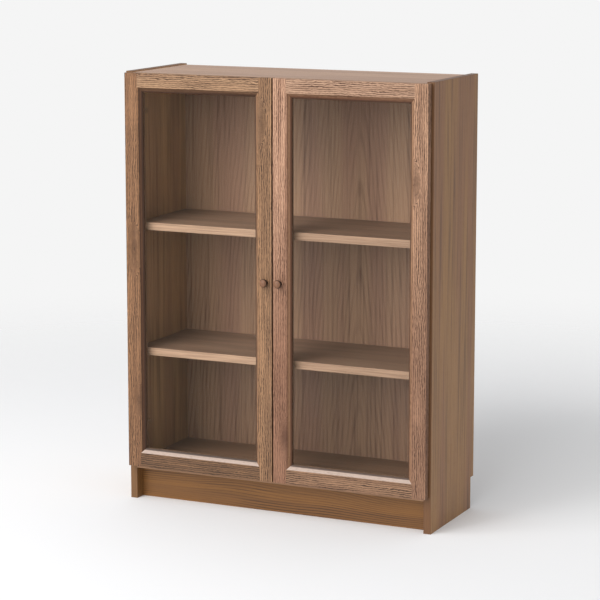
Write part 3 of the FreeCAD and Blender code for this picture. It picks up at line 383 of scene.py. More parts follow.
@dataclass(frozen=True)
class FoilFinish:
    """Printed wood foil: soft bands, growth lines, fine streaks and pores, with painted shade low
    down and on the right half where asked.

    Attributes:
        name: Name of the material.
        grain: The way of the grain.
        first: Tone of one half of the bands.
        second: Tone of the other half.
        line: Tone of the streaks and pores.
        band: Width of a soft band in metres.
        streak: Share of the streaks.
        grained: Streaks per metre across the grain.
        pitch: Distance between two growth lines, in metres.
        ring: Share of the growth lines.
        wander: How far a growth line strays from its course, in metres.
        fray: How ragged and wide a growth line is, 1 for much.
        dusk: Share of the line tone that the lowest part gets, as painted shade that darkens it
            towards the bottom.
        dim: Share of the line tone that the right half gets, as painted shade.
        gloss: Roughness of the satin surface.
        shift: Moves the pattern to another stretch of wood.
        figure: Arches in the print.
        edges: Strips of another look on the edges.
    """

    name: str
    grain: Grain
    first: Colour
    second: Colour
    line: Colour
    band: float = 0.05
    streak: float = 0.35
    grained: float = 150.0
    pitch: float = 0.007
    ring: float = 0.3
    wander: float = 0.02
    fray: float = 1.0
    dusk: float = 0.0
    dim: float = 0.0
    gloss: float = 0.42
    shift: float = 0.0
    figure: Figure | None = None
    edges: tuple[EdgeBand, ...] = ()

    def build(self) -> bpy.types.Material:
        """Makes the material.

        Returns:
            The finished material.
        """
        work = Surface(self.name)
        grain, shift = self.grain, self.shift
        bands = work.noise(work.stretched(grain, 1 / self.band, 0.9, shift), 1.5, 0.45)
        streaks = work.noise(work.stretched(grain, self.grained, 2.2, shift + 5), 3.0, 0.6)
        wisps = work.noise(work.stretched(grain, 420.0, 9.0, shift + 9), 2.0, 0.55)
        pores = work.noise(work.stretched(grain, 1300.0, 55.0, shift + 13), 1.0)
        tone = work.mix(work.ease(bands, 0.4, 0.6), self.first, self.second)
        dark = work.ease(streaks, 0.45, 0.75) * self.streak
        dark = dark + work.ease(wisps, 0.5, 0.8) * (0.45 * self.streak)
        dark = dark + self._rings(work, wisps) * self.ring
        # Painted shade: the lowest part darkens towards the bottom.
        if self.dusk:
            dark = dark + (1 - work.ease(work.axis(2), 0.1, 0.8)) * self.dusk
        pore = work.ease(pores, 0.6, 0.72)
        tone = work.mix(dark, tone, self.line)
        tone = work.mix(pore * 0.3, tone, self.line)
        height = 1 - pore
        for edge in self.edges:
            tone = self._edged(work, edge, tone, wisps)
        # Painted shade over the right half.
        if self.dim:
            tone = work.mix(work.ease(work.axis(0), -0.06, 0.06) * self.dim, tone, self.line)
        rough = self.gloss + wisps * 0.1 + pore * 0.12
        return work.close(tone, rough, height, 0.00006, Specular_IOR_Level=0.35)

    def _rings(self, work: Surface, wisps: Value) -> Value:
        """Growth lines along the grain, bent by soft noise and drawn into arches.

        Args:
            work: The material that is written.
            wisps: Fine streaks that fray the lines.

        Returns:
            Darkness of the lines from 0 to 1.
        """
        along = work.axis(self.grain.value)
        if self.figure:
            away = work.axis(self.figure.axis) - self.figure.centre
            course = (away * away + self.figure.roundness**2) ** 0.5
            course = course + along * self.figure.slope
        else:
            first, second = (number for number in range(3) if number != self.grain.value)
            course = work.axis(first) + work.axis(second)
        sway = work.noise(work.stretched(self.grain, 9.0, 2.4, self.shift + 21), 1.0)
        ripple = work.noise(work.stretched(self.grain, 50.0, 8.0, self.shift + 27), 2.0)
        course = course + (sway - 0.5) * (2 * self.wander)
        course = course + (ripple - 0.5) * (self.fray * self.pitch)
        course = course + (wisps - 0.5) * (0.5 * self.fray * self.pitch)
        wave = (course * (2 * math.pi / self.pitch)).sine()
        strong = work.noise(work.stretched(self.grain, 30.0, 3.0, self.shift + 33), 2.0)
        return work.ease(wave, 0.4 - 0.7 * self.fray, 1.0) * work.ease(strong, 0.3, 0.65)

    def _edged(self, work: Surface, edge: EdgeBand, tone: Value, wisps: Value) -> Value:
        """Tone with one edge strip laid over it.

        Args:
            work: The material that is written.
            edge: The strip.
            tone: Colour of the board so far.
            wisps: Fine streaks that go on over the strip.

        Returns:
            The new tone.
        """
        if edge.speckle:
            place = work.stretched(self.grain, edge.chips, edge.chips * 0.7, 3.0)
            chips = work.noise(place, 3.0, 0.75)
            cloud = work.noise(work.stretched(self.grain, 7.0, 4.0, 8.0), 3.0, 0.6)
            strip = work.mix(work.ease(chips, 0.42, 0.62) * edge.speckle, edge.tone, self.line)
            strip = work.mix(work.ease(cloud, 0.3, 0.75) * 0.3, strip, self.line)
        else:
            strip = work.mix(work.ease(wisps, 0.3, 0.75) * 0.45, edge.tone, self.line)
        return work.mix(edge.share(work), tone, strip)


@dataclass(frozen=True)
class Knot:
    """A swirl in a door member.

    Attributes:
        across: Its middle across the grain, in metres.
        along: Its middle along the grain, in metres.
        radius: Half its width, in metres.
        dark: Share of the dark tone at its middle.
        length: How many times longer than wide it is.
    """

    across: float
    along: float
    radius: float
    dark: float = 0.35
    length: float = 3.0


@dataclass(frozen=True)
class Bevel:
    """The slant beside the glass on one door member, whose tone paints how lit or shaded it is.

    Attributes:
        axis: Number of the axis across the member.
        start: Where the flat face ends, in metres.
        beyond: True where the slant has the higher coordinates.
        tone: sRGB tone of the slant, each part 0 to 255, which paints how lit or shaded the slant
            is.
        veil: Share of the stripe tone on it.
        plain: How much weaker the pressed lines are on it.
        root: Depth at which the dark line beside the glass starts, in metres; that line is the
            glazing joint with painted shade in its recess.
        seam: How far that line takes to reach its full tone, in metres.
        back: Depth at which the slant and its lip end, in metres.
        brow: Share of the painted shade line along the crease where the flat face ends.
        soft: Width over which the slant's tone begins, in metres.
    """

    axis: int
    start: float
    beyond: bool
    tone: Tone
    veil: float = 0.4
    plain: float = 0.5
    root: float = 0.0048
    seam: float = 0.0018
    back: float = 0.0105
    brow: float = 0.0
    soft: float = 0.0004

    def brim(self, work: Surface) -> Value:
        """Mask of the painted shade line where the flat face ends.

        Args:
            work: The material that is written.

        Returns:
            1 on the line and 0 past it.
        """
        away = abs(work.axis(self.axis)) - self.start
        if not self.beyond:
            away = away * -1
        return 1 - work.ease(away, 0.0008, 0.0024)

    def share(self, work: Surface, face: float) -> Value:
        """Mask of the slant behind the front face.

        Args:
            work: The material that is written.
            face: Front face of the doors on the Y axis, in metres.

        Returns:
            1 on the slant and 0 elsewhere.
        """
        deep = work.ease(work.axis(1), face + 0.0002, face + 0.0006)
        front = 1 - work.ease(work.axis(1), face + self.back, face + self.back + 0.001)
        before = self.start - self.soft if self.beyond else self.start + self.soft
        return deep * front * work.ease(abs(work.axis(self.axis)), before, self.start)


@dataclass(frozen=True)
class DoorWoodFinish:
    """Embossed open-pored wood of the door frames, with painted light and shade on the slants and
    painted shade on the meeting edges.

    Attributes:
        name: Name of the material.
        grain: The way of the grain.
        light: Tone of the ridges.
        dark: Tone of the pressed lines.
        shade: Tone of the broad soft stripes.
        bevel: The slant beside the glass.
        face: Front face of the doors on the Y axis, in metres.
        shift: Moves the pattern to another stretch of wood.
        pitch: Distance between two pressed lines, in metres.
        wander: How far a line strays from its course, in metres.
        fade: Share of the stripe tone that the lower half gets: darker towards the bottom, partly
            the wood's own change and partly painted shade.
        gap: Half the gap between the doors, where painted shade darkens the edges.
        knots: Swirls in the grain.
    """

    name: str
    grain: Grain
    light: Colour
    dark: Colour
    shade: Colour
    bevel: Bevel
    face: float
    shift: float = 0.0
    pitch: float = 0.0047
    wander: float = 0.004
    fade: float = 0.0
    gap: float = 0.0015
    knots: tuple[Knot, ...] = ()

    def build(self) -> bpy.types.Material:
        """Makes the material.

        Returns:
            The finished material.
        """
        work = Surface(self.name)
        grain, shift = self.grain, self.shift
        across, burr = self._course(work)
        pressed = self._pressed(work, across)
        pores = work.noise(work.stretched(grain, 1100.0, 120.0, shift + 7), 1.5)
        pores = work.ease(pores, 0.5, 0.66)
        stripes = work.ease(work.noise(work.stretched(grain, 80.0, 1.6, shift), 2.0), 0.36, 0.66)
        streaks = work.noise(work.stretched(grain, 210.0, 3.0, shift + 51), 2.0)
        tone = work.mix(stripes * 0.75, self.light, self.shade)
        tone = work.mix(work.ease(streaks, 0.52, 0.7) * 0.45, tone, self._pale())
        # Darker towards the bottom: partly the wood's own change, partly painted shade.
        low = 1 - work.ease(work.axis(2), 0.3, 0.8)
        tone = work.mix(low * self.fade, tone, self.shade)
        # The slant's tone paints how lit or shaded it is.
        deep = self.bevel.share(work, self.face)
        tone = work.mix(deep, tone, self._slant(work, stripes))
        tone = work.mix(pressed * (0.95 - deep * self.bevel.plain), tone, self.dark)
        tone = work.mix(pores * 0.25, tone, self.dark)
        tone = work.mix(burr, tone, self.dark)
        # Painted shade on the meeting edges in the gap between the doors.
        meeting = 1 - work.ease(abs(work.axis(0)), self.gap + 0.0001, self.gap + 0.0005)
        tone = work.mix(meeting * 0.5, tone, self.dark)
        height = 1 - (pressed * 0.8 + pores * 0.2) * (1 - deep * 0.6)
        rough = 0.5 + pressed * 0.2 + deep * 0.15
        return work.close(tone, rough, height, 0.0002, Specular_IOR_Level=0.35)

    def _course(self, work: Surface) -> tuple[Value, Input]:
        """Way across the pressed lines, bent round the knots and by soft noise.

        Args:
            work: The material that is written.

        Returns:
            The way in metres, and the dark share that the knots add.
        """
        side = 0 if self.grain is Grain.UPRIGHT else 2
        across = work.axis(side) + work.axis(1) * 0.8
        burr: Input = 0.0
        for knot in self.knots:
            near, reach = self._swirl(work, knot, side)
            across = across + near * (reach - across + knot.across)
            burr = near * near * knot.dark + burr
        sway = work.noise(work.stretched(self.grain, 30.0, 7.0, self.shift + 31), 1.5)
        shake = work.noise(work.stretched(self.grain, 120.0, 60.0, self.shift + 37), 2.0)
        across = across + (sway - 0.5) * (2 * self.wander) + (shake - 0.5) * (1.2 * self.pitch)
        return across, burr

    def _pressed(self, work: Surface, across: Value) -> Value:
        """Pressed lines, broken and of changing depth, with thinner ones between.

        Args:
            work: The material that is written.
            across: Way across the lines, in metres.

        Returns:
            Depth of the lines from 0 to 1.
        """
        grain, shift = self.grain, self.shift
        breaks = work.noise(work.stretched(grain, 240.0, 60.0, shift + 3), 2.0)
        ripple = work.noise(work.stretched(grain, 150.0, 170.0, shift + 61), 2.0)
        depth = work.noise(work.stretched(grain, 60.0, 9.0, shift + 43), 2.0)
        wave = (across * (2 * math.pi / self.pitch)).sine()
        pressed = work.ease(wave + (breaks - 0.5) * 1.9 + (ripple - 0.5) * 1.5, -0.05, 0.7)
        pressed = pressed * (0.6 + work.ease(depth, 0.35, 0.65) * 0.4)
        thin = ((across + (breaks - 0.5) * 0.0015) * (2 * math.pi / (self.pitch * 0.43))).sine()
        thin = work.ease(thin + (depth - 0.5) * 2.0, 0.2, 1.0)
        return pressed + (1 - pressed) * thin * 0.5

    def _slant(self, work: Surface, stripes: Value) -> Value:
        """Tone of the slant, which paints how lit or shaded it is, with the dark lines at its two
        edges: the painted shade line at the crease, and beside the glass the glazing joint with
        painted shade in its recess.

        Args:
            work: The material that is written.
            stripes: Mask of the broad soft stripes.

        Returns:
            The tone.
        """
        bevel = self.bevel
        slant = work.mix(stripes * bevel.veil, paint(*bevel.tone), self.shade)
        start = self.face + bevel.root
        # Dark line beside the glass: the glazing joint with painted shade in its recess.
        root = work.ease(work.axis(1), start, start + bevel.seam)
        slant = work.mix(root * 0.85, slant, self.dark)
        # Painted shade line along the crease where the flat face ends.
        if bevel.brow:
            slant = work.mix(bevel.brim(work) * bevel.brow, slant, self.dark)
        return slant

    def _pale(self) -> Colour:
        """Tone of the light streaks."""
        red, green, blue, cover = self.light
        return (red * 1.35, green * 1.4, blue * 1.45, cover)

    def _swirl(self, work: Surface, knot: Knot, side: int) -> tuple[Value, Value]:
        """Mask round a knot and the distance from its middle, squeezed along the grain.

        Args:
            work: The material that is written.
            knot: The swirl.
            side: Number of the axis across the grain.

        Returns:
            The mask, 1 at the middle, and the distance in metres.
        """
        beside = work.axis(side) - knot.across
        beyond = (work.axis(self.grain.value) - knot.along) / knot.length
        reach = (beside * beside + beyond * beyond) ** 0.5
        return 1 - work.ease(reach, 0.0, knot.radius), reach


@dataclass(frozen=True)
class TurnedWoodFinish:
    """Turned wood of knobs, whose dark tone behind the crown is painted shade, or plain wood of
    dowels.

    Attributes:
        name: Name of the material.
        light: Tone of the early wood.
        dark: Tone of the growth lines.
        gloss: Roughness.
        crown: Tone of the rounded front of a knob, if it has one: the wood's own tone, while the
            rest of the knob gets painted shade.
        front: Where the crown's tone is full on the Y axis, in metres.
    """

    name: str
    light: Colour
    dark: Colour
    gloss: float = 0.4
    crown: Colour | None = None
    front: float = 0.0

    def build(self) -> bpy.types.Material:
        """Makes the material.

        Returns:
            The finished material.
        """
        work = Surface(self.name)
        rings = work.noise(work.stretched(Grain.UPRIGHT, 700.0, 60.0, 2.0), 2.0, 0.6, 0.4)
        pores = work.noise(work.stretched(Grain.UPRIGHT, 2600.0, 180.0, 7.0), 1.0)
        dark = work.ease(rings, 0.4, 0.72) * 0.6 + work.ease(pores, 0.58, 0.7) * 0.25
        tone: Input = self.light
        if self.crown:
            ahead = 1 - work.ease(work.axis(1), self.front, self.front + 0.0012)
            tone = work.mix(ahead, self.light, self.crown)
        tone = work.mix(dark, tone, self.dark)
        return work.close(tone, self.gloss + rings * 0.15, 1 - dark, 0.00008)


@dataclass(frozen=True)
class MetalFinish:
    """Plated or cast metal with fine marks.

    Attributes:
        name: Name of the material.
        tone: Colour of the metal.
        gloss: Roughness.
        marks: Fine marks per metre.
        bare: Share of bare metal, less under a lacquer.
    """

    name: str
    tone: Colour
    gloss: float = 0.28
    marks: float = 900.0
    bare: float = 1.0

    def build(self) -> bpy.types.Material:
        """Makes the material.

        Returns:
            The finished material.
        """
        work = Surface(self.name)
        fine = work.noise(work.stretched(Grain.UPRIGHT, self.marks, self.marks * 0.2, 1.0), 2.0)
        cloud = work.noise(work.stretched(Grain.UPRIGHT, 70.0, 70.0, 4.0), 2.0)
        dull = tuple(part * 0.72 for part in self.tone[:3]) + (1.0,)
        tone = work.mix(work.ease(cloud, 0.35, 0.75) * 0.5, self.tone, dull)
        rough = self.gloss + fine * 0.14 + cloud * 0.08
        return work.close(tone, rough, fine, 0.00002, Metallic=self.bare)


@dataclass(frozen=True)
class GlassFinish:
    """Clear flat glass with a trace of wiping marks.

    Attributes:
        name: Name of the material.
        tone: Colour of the haze on the glass.
        cover: Share of the view that the haze covers.
    """

    name: str
    tone: Colour
    cover: float

    def build(self) -> bpy.types.Material:
        """Makes the material.

        Returns:
            The finished material.
        """
        work = Surface(self.name)
        wipes = work.noise(work.stretched(Grain.LEVEL, 14.0, 5.0, 2.0), 3.0, 0.6, 0.8)
        haze = work.noise(work.stretched(Grain.UPRIGHT, 3.0, 2.0, 8.0), 2.0)
        tone = work.mix(haze * 0.25, self.tone, paint(196, 214, 205))
        rough = 0.04 + work.ease(wipes, 0.45, 0.8) * 0.1
        return work.close(tone, rough, wipes, 0.00001, self.cover, IOR=1.5)


@dataclass(frozen=True)
class SoftFinish:
    """Translucent soft pad.

    Attributes:
        name: Name of the material.
        tone: Colour of the pad.
    """

    name: str
    tone: Colour

    def build(self) -> bpy.types.Material:
        """Makes the material.

        Returns:
            The finished material.
        """
        work = Surface(self.name)
        cloud = work.noise(work.stretched(Grain.UPRIGHT, 600.0, 600.0, 1.0), 2.0)
        dust = work.ease(cloud, 0.45, 0.8)
        tone = work.mix(dust * 0.3, self.tone, paint(150, 148, 142))
        return work.close(tone, 0.35 + cloud * 0.2, cloud, 0.00004)


@dataclass(frozen=True)
class FloorFinish:
    """Plain pale studio floor that fades into the backdrop.

    Attributes:
        name: Name of the material.
        tone: Colour of the floor.
        start: Distance from the middle at which the fading starts, in metres.
        end: Distance at which nothing is left of the floor, in metres.
    """

    name: str
    tone: Colour
    start: float = 1.1
    end: float = 3.2

    def build(self) -> bpy.types.Material:
        """Makes the material.

        Returns:
            The finished material.
        """
        work = Surface(self.name)
        cloud = work.noise(work.stretched(Grain.UPRIGHT, 1.5, 1.5, 1.0), 2.0)
        tone = work.mix(cloud * 0.02, self.tone, paint(200, 201, 203))
        across, deep = work.axis(0), work.axis(1)
        away = (across * across + deep * deep) ** 0.5
        return work.close(
            tone, 0.8 + cloud * 0.05, alpha=1 - work.ease(away, self.start, self.end)
        )


# Carcass tones: printed lines, shelf edges, board edges and bare chipboard.
LINE = paint(84, 56, 38)
SHELF_EDGE = paint(184, 150, 122)
BOARD_EDGE = paint(160, 122, 90)
CHIPBOARD = paint(188, 160, 126)

# Painted light and shade of the slants beside the glass, from light to dark: each tone paints how
# lit or shaded its slant is, from a painted highlight on the sills to deep painted shade.
SILL_HIGHLIGHT: Tone = (180, 160, 148)
LIT: Tone = (150, 114, 86)
HALF_LIT: Tone = (138, 102, 74)
HALF_SHADED: Tone = (104, 66, 42)
SHADED: Tone = (76, 48, 30)
DEEP: Tone = (68, 42, 24)


@dataclass(frozen=True)
class WoodTones:
    """Tones of one piece of door wood.

    Attributes:
        ridges: Tone of the ridges.
        pores: Tone of the pressed lines.
        stripes: Tone of the broad stripes.
        fade: Share of the stripe tone that the lower half gets: darker towards the bottom, partly
            the wood's own change and partly painted shade.
    """

    ridges: Tone
    pores: Tone
    stripes: Tone
    fade: float = 0.0


class Tint(Enum):
    """The door wood's tones, from warm light to dark."""

    ROSE = WoodTones((190, 148, 120), (74, 44, 29), (145, 104, 80), 0.95)
    DUSK = WoodTones((178, 138, 109), (66, 40, 26), (138, 101, 78), 0.75)
    AMBER = WoodTones((177, 141, 115), (68, 42, 28), (153, 117, 91))
    HONEY = WoodTones((165, 130, 98), (60, 36, 20), (141, 105, 77))
    FAWN = WoodTones((160, 121, 87), (53, 32, 20), (135, 100, 71))
    OLIVE = WoodTones((153, 111, 77), (50, 30, 17), (127, 89, 61))
    UMBER = WoodTones((150, 114, 86), (50, 31, 20), (124, 90, 66))
    PEAT = WoodTones((124, 90, 61), (38, 23, 13), (100, 71, 48))


@dataclass(frozen=True)
class Member:
    """One stile or rail of a door.

    Attributes:
        part: Its name without the side.
        grain: The way of its grain.
        shift: Its stretch of wood.
        tint: Its tones.
        slant: Tone of its slant beside the glass, which paints how lit or shaded that slant is.
        knots: Its swirls.
    """

    part: str
    grain: Grain
    shift: float
    tint: Tint
    slant: Tone
    knots: tuple[Knot, ...] = ()

    def build(self, name: str, bevel: Bevel, face: float) -> bpy.types.Material:
        """Makes its material.

        Args:
            name: Name of the material.
            bevel: The slant beside the glass.
            face: Front face of the doors on the Y axis, in metres.

        Returns:
            The finished material.
        """
        tones = self.tint.value
        return DoorWoodFinish(
            name, self.grain, paint(*tones.ridges), paint(*tones.pores), paint(*tones.stripes),
            bevel, face, self.shift, pitch=0.0048 if self.grain is Grain.LEVEL else 0.0046,
            fade=tones.fade, knots=self.knots,
        ).build()


def front_band(node: str, tone: Colour) -> EdgeBand:
    """Edge strip on the front edge of a board."""
    return EdgeBand(1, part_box(node)[0].y + 0.0007, False, tone)


class Palette:
    """Every finish of the bookcase, made once."""

    def __init__(self) -> None:
        """Builds the materials."""
        side_box, back_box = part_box("side_panel_right"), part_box("back_panel")
        # Painted shade on the left panel's inner face below the plinth top, in the recess beside
        # the plinth.
        foot = EdgeBand(
            0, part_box("side_panel_left")[1].x - 0.0003, True, paint(130, 92, 50),
            below=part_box("plinth")[1].z,
        )
        side_rear = EdgeBand(1, side_box[1].y - 0.0003, True, CHIPBOARD, 0.6)
        side_top = EdgeBand(2, side_box[1].z - 0.0004, True, paint(110, 80, 60))
        right_front = front_band("side_panel_right", paint(106, 72, 43))
        left_front = front_band("side_panel_left", paint(116, 82, 49))
        self.side_right = FoilFinish(
            "walnut_foil_side_right", Grain.UPRIGHT, paint(157, 116, 73), paint(147, 105, 72),
            LINE, 0.06, 0.6, 75.0, ring=0.3, wander=0.01, shift=1.0,
            edges=(right_front, side_rear, side_top),
        ).build()
        # The left panel's tones are lighter than the right panel's of the same foil: painted light
        # on its shaded inner face.
        self.side_left = FoilFinish(
            "walnut_foil_side_left_painted_light_and_shade", Grain.UPRIGHT, paint(184, 145, 103), paint(172, 133, 97),
            LINE, 0.06, 0.5, 75.0, ring=0.3, wander=0.01, shift=6.0,
            edges=(foot, left_front, side_rear, side_top),
        ).build()
        self.top = FoilFinish(
            "walnut_foil_top", Grain.LEVEL, paint(180, 149, 127), paint(169, 139, 120), LINE,
            0.06, 0.3, gloss=0.48, shift=3.0, edges=(front_band("top_panel", BOARD_EDGE),),
        ).build()
        self.bottom = FoilFinish(
            "walnut_foil_bottom", Grain.LEVEL, paint(134, 103, 80), paint(122, 93, 71), LINE,
            0.06, 0.3, shift=8.0, edges=(front_band("bottom_panel", BOARD_EDGE),),
        ).build()
        # The shelves get painted shade on their right half.
        self.shelf = FoilFinish(
            "walnut_foil_shelf", Grain.LEVEL, paint(146, 118, 97), paint(134, 107, 88), LINE,
            0.05, 0.3, dim=0.24, shift=4.0, edges=(front_band("shelf_lower", SHELF_EDGE),),
        ).build()
        self.plinth = FoilFinish(
            "walnut_foil_plinth", Grain.LEVEL, paint(125, 84, 40), paint(114, 76, 38),
            paint(66, 42, 22), 0.03, 0.4, shift=2.0,
            pitch=0.0056, ring=0.95, wander=0.022, fray=0.45,
        ).build()
        rear = EdgeBand(1, back_box[1].y - 0.0002, True, paint(150, 120, 90), 0.35, 1100.0)
        # The back panel gets painted shade towards its bottom.
        self.back = FoilFinish(
            "walnut_foil_back", Grain.UPRIGHT, paint(166, 132, 104), paint(157, 121, 98),
            paint(92, 62, 48), 0.07, 0.45, shift=5.0, dusk=0.24,
            pitch=0.0115, ring=0.27, wander=0.013, fray=0.55,
            figure=Figure(0, 0.1, 0.018, 0.1), edges=(rear,),
        ).build()
        self.beads = FoilFinish(
            "walnut_bead", Grain.UPRIGHT, paint(130, 100, 78), paint(120, 92, 72), LINE, 0.02
        ).build()
        # The knob's dark tone is painted shade on its foot, waist and head; only the crown has the
        # wood's tone.
        self.knob = TurnedWoodFinish(
            "turned_walnut_painted_shade", paint(48, 27, 15), paint(30, 17, 10), 0.5, paint(128, 88, 62),
            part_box("knob_right")[0].y + 0.003,
        ).build()
        self.beech = TurnedWoodFinish(
            "plain_beech", paint(214, 184, 142), paint(176, 140, 98), 0.6
        ).build()
        self.bronze = MetalFinish("bronzed_steel", paint(154, 122, 90), 0.42, bare=0.12).build()
        self.zinc = MetalFinish("zinc_plate", paint(188, 190, 190), 0.3).build()
        self.cast = MetalFinish("cast_zinc", paint(150, 150, 148), 0.45, 500.0).build()
        self.glass = GlassFinish("clear_glass", paint(60, 66, 60), 0.03).build()
        self.pad = SoftFinish("soft_pad", paint(226, 225, 220)).build()
        self.floor = FloorFinish("studio_floor", paint(240, 241, 243)).build()


# ---------------------------------------------------------------------------
# Fittings from geometry trees
# ---------------------------------------------------------------------------
class FittingTree(NodeWork):
    """Geometry tree that sets one fitting on every point it is given."""

    def __init__(self, name: str) -> None:
        """Starts a tree with points in and a mesh out.

        Args:
            name: Name of the tree.
        """
        super().__init__(bpy.data.node_groups.new(name, "GeometryNodeTree"))
        face = self.tree.interface
        face.new_socket(name="Points", in_out="INPUT", socket_type="NodeSocketGeometry")
        face.new_socket(name="Fittings", in_out="OUTPUT", socket_type="NodeSocketGeometry")
        self.start = self.tree.nodes.new("NodeGroupInput")
        self.names: dict[str, str] = {}

    def size(self, name: str) -> Value:
        """Length among the tree's inputs, made when it is first asked for.

        Args:
            name: Name of the input.

        Returns:
            Its value, in metres.
        """
        if name not in self.names:
            made = self.tree.interface.new_socket(
                name=name, in_out="INPUT", socket_type="NodeSocketFloat"
            )
            self.names[name] = made.identifier
        return Value(self, self.start.outputs[name])

    def vector(self, x: Input, y: Input, z: Input) -> Value:
        """Three values as one vector."""
        return self.node("ShaderNodeCombineXYZ", {}, {0: x, 1: y, 2: z})

    def moved(self, mesh: Value, place: Input = (0, 0, 0), turn: Input = (0, 0, 0)) -> Value:
        """Mesh at another place.

        Args:
            mesh: The mesh.
            place: How far it is moved, in metres.
            turn: How far it is turned before that, in radians about each axis.

        Returns:
            The moved mesh.
        """
        return self.node(
            "GeometryNodeTransform", {}, {"Geometry": mesh, "Translation": place, "Rotation": turn}
        )

    def joined(self, *meshes: Value) -> Value:
        """Several meshes as one."""
        return self.node("GeometryNodeJoinGeometry", {}, {0: list(reversed(meshes))})

    def rod(self, radius: Input, low: Input, high: Input, sides: int = 24) -> Value:
        """Upright cylinder between two heights, at least one of them reckoned in nodes.

        Args:
            radius: Its radius.
            low: Height of its lower end.
            high: Height of its upper end.
            sides: Corners of its outline.

        Returns:
            The mesh.
        """
        span = high - low
        mesh = self.node(
            "GeometryNodeMeshCylinder", {"fill_type": "NGON"},
            {"Vertices": sides, "Radius": radius, "Depth": span}, "Mesh",
        )
        return self.moved(mesh, self.vector(0.0, 0.0, span / 2 + low))

    def dome(
        self, radius: Value, height: Value, flat: float, rings: int = 7, sides: int = 28
    ) -> Value:
        """Domed disc on z = 0.

        Args:
            radius: Its radius.
            height: Its height.
            flat: Share of the radius over which its top is flat.
            rings: Steps from the rim to the flat top.
            sides: Corners of its outline.

        Returns:
            The mesh.
        """
        mesh = self.node(
            "GeometryNodeMeshCone", {"fill_type": "NGON"},
            {"Vertices": sides, "Side Segments": rings, "Radius Top": radius * flat,
             "Radius Bottom": radius, "Depth": height}, "Mesh",
        )
        here = self.node("GeometryNodeInputPosition")
        parts = [self.node("ShaderNodeSeparateXYZ", {}, {0: here}, i) for i in range(3)]
        rise = parts[2] / height
        wanted = (1 - rise * rise * (1 - flat * flat)) ** 0.5
        straight = 1 - rise * (1 - flat)
        grow = wanted / straight
        place = self.vector(parts[0] * grow, parts[1] * grow, parts[2])
        return self.node("GeometryNodeSetPosition", {}, {"Geometry": mesh, "Position": place})

    def less(self, mesh: Value, *tools: Value) -> Value:
        """Cuts tools out of a mesh.

        Args:
            mesh: The mesh.
            tools: Closed meshes that are cut away.

        Returns:
            What is left.
        """
        return self.node(
            "GeometryNodeMeshBoolean", {"operation": "DIFFERENCE"},
            {"Mesh 1": mesh, "Mesh 2": list(tools)},
        )

    def cone(self, top: Input, tip: float, depth: Input, below: Value, sides: int) -> Value:
        """Point of a screw or nail that ends at a depth below z = 0.

        Args:
            top: Radius of its upper end.
            tip: Radius of its blunt tip.
            depth: Its length.
            below: Depth of the tip.
            sides: Corners of its outline.

        Returns:
            The mesh.
        """
        mesh = self.node(
            "GeometryNodeMeshCone", {"fill_type": "NGON"},
            {"Vertices": sides, "Radius Top": top, "Radius Bottom": tip, "Depth": depth}, "Mesh",
        )
        return self.moved(mesh, self.vector(0.0, 0.0, below * -1))

    def block(self, x: Input, y: Input, z: Input, place: Input = (0, 0, 0)) -> Value:
        """Box about a place."""
        mesh = self.node("GeometryNodeMeshCube", {}, {"Size": self.vector(x, y, z)}, "Mesh")
        return self.moved(mesh, place)

    def helix(self, radius: Input, low: Value, high: Value, pitch: Value, ridge: Input) -> Value:
        """Thread ridge round an upright core.

        Args:
            radius: Radius of its middle line.
            low: Height of its lower end.
            high: Height of its upper end.
            pitch: Rise of one turn.
            ridge: Radius of its three-sided section.

        Returns:
            The mesh.
        """
        span = high - low
        line = self.node(
            "GeometryNodeCurveSpiral", {},
            {"Resolution": 14, "Rotations": span / pitch, "Start Radius": radius,
             "End Radius": radius, "Height": span},
        )
        section = self.node(
            "GeometryNodeCurvePrimitiveCircle", {"mode": "RADIUS"},
            {"Resolution": 3, "Radius": ridge},
        )
        mesh = self.node(
            "GeometryNodeCurveToMesh", {},
            {"Curve": line, "Profile Curve": section, "Fill Caps": True},
        )
        return self.moved(mesh, self.vector(0.0, 0.0, low))

    def end(self, mesh: Value, material: bpy.types.Material, spin: float, seed: int = 7) -> None:
        """Sets the fitting on each point, facing the way the point says.

        Args:
            mesh: The fitting, with its head towards +Z.
            material: Its finish.
            spin: Largest turn about its own axis, in radians.
            seed: Seed of those turns.
        """
        smooth = self.node("GeometryNodeSetShadeSmooth", {}, {"Geometry": mesh})
        sharp = self.node("GeometryNodeInputMeshEdgeAngle")
        smooth = self.node(
            "GeometryNodeSetShadeSmooth", {"domain": "EDGE"},
            {"Geometry": smooth, "Selection": self.node(
                "FunctionNodeCompare", {"operation": "GREATER_THAN"}, {0: sharp, 1: 0.5}),
             "Shade Smooth": False},
        )
        facing = self.node(
            "GeometryNodeInputNamedAttribute", {"data_type": "FLOAT_VECTOR"}, {"Name": "facing"}
        )
        turn = self.node("FunctionNodeAlignRotationToVector", {"axis": "Z"}, {"Vector": facing})
        points = Value(self, self.start.outputs["Points"])
        copies = self.node(
            "GeometryNodeInstanceOnPoints", {},
            {"Points": points, "Instance": smooth, "Rotation": turn},
        )
        chance = self.node(
            "FunctionNodeRandomValue", {"data_type": "FLOAT"},
            {"Min": -spin, "Max": spin, "Seed": seed}, 1,
        )
        copies = self.node(
            "GeometryNodeRotateInstances", {},
            {"Instances": copies, "Rotation": self.vector(0.0, 0.0, chance), "Local Space": True},
        )
        real = self.node("GeometryNodeRealizeInstances", {}, {"Geometry": copies})
        done = self.node("GeometryNodeSetMaterial", {}, {"Geometry": real, "Material": material})
        self.end_in("NodeGroupOutput", done)


Place = tuple[Vector, Vector]


def put(name: str, data: bpy.types.ID) -> bpy.types.Object:
    """Adds an object to the scene, at the origin.

    Args:
        name: Its name.
        data: Its mesh, light or camera.

    Returns:
        The new object.
    """
    made = bpy.data.objects.new(name, data)
    bpy.context.scene.collection.objects.link(made)
    return made


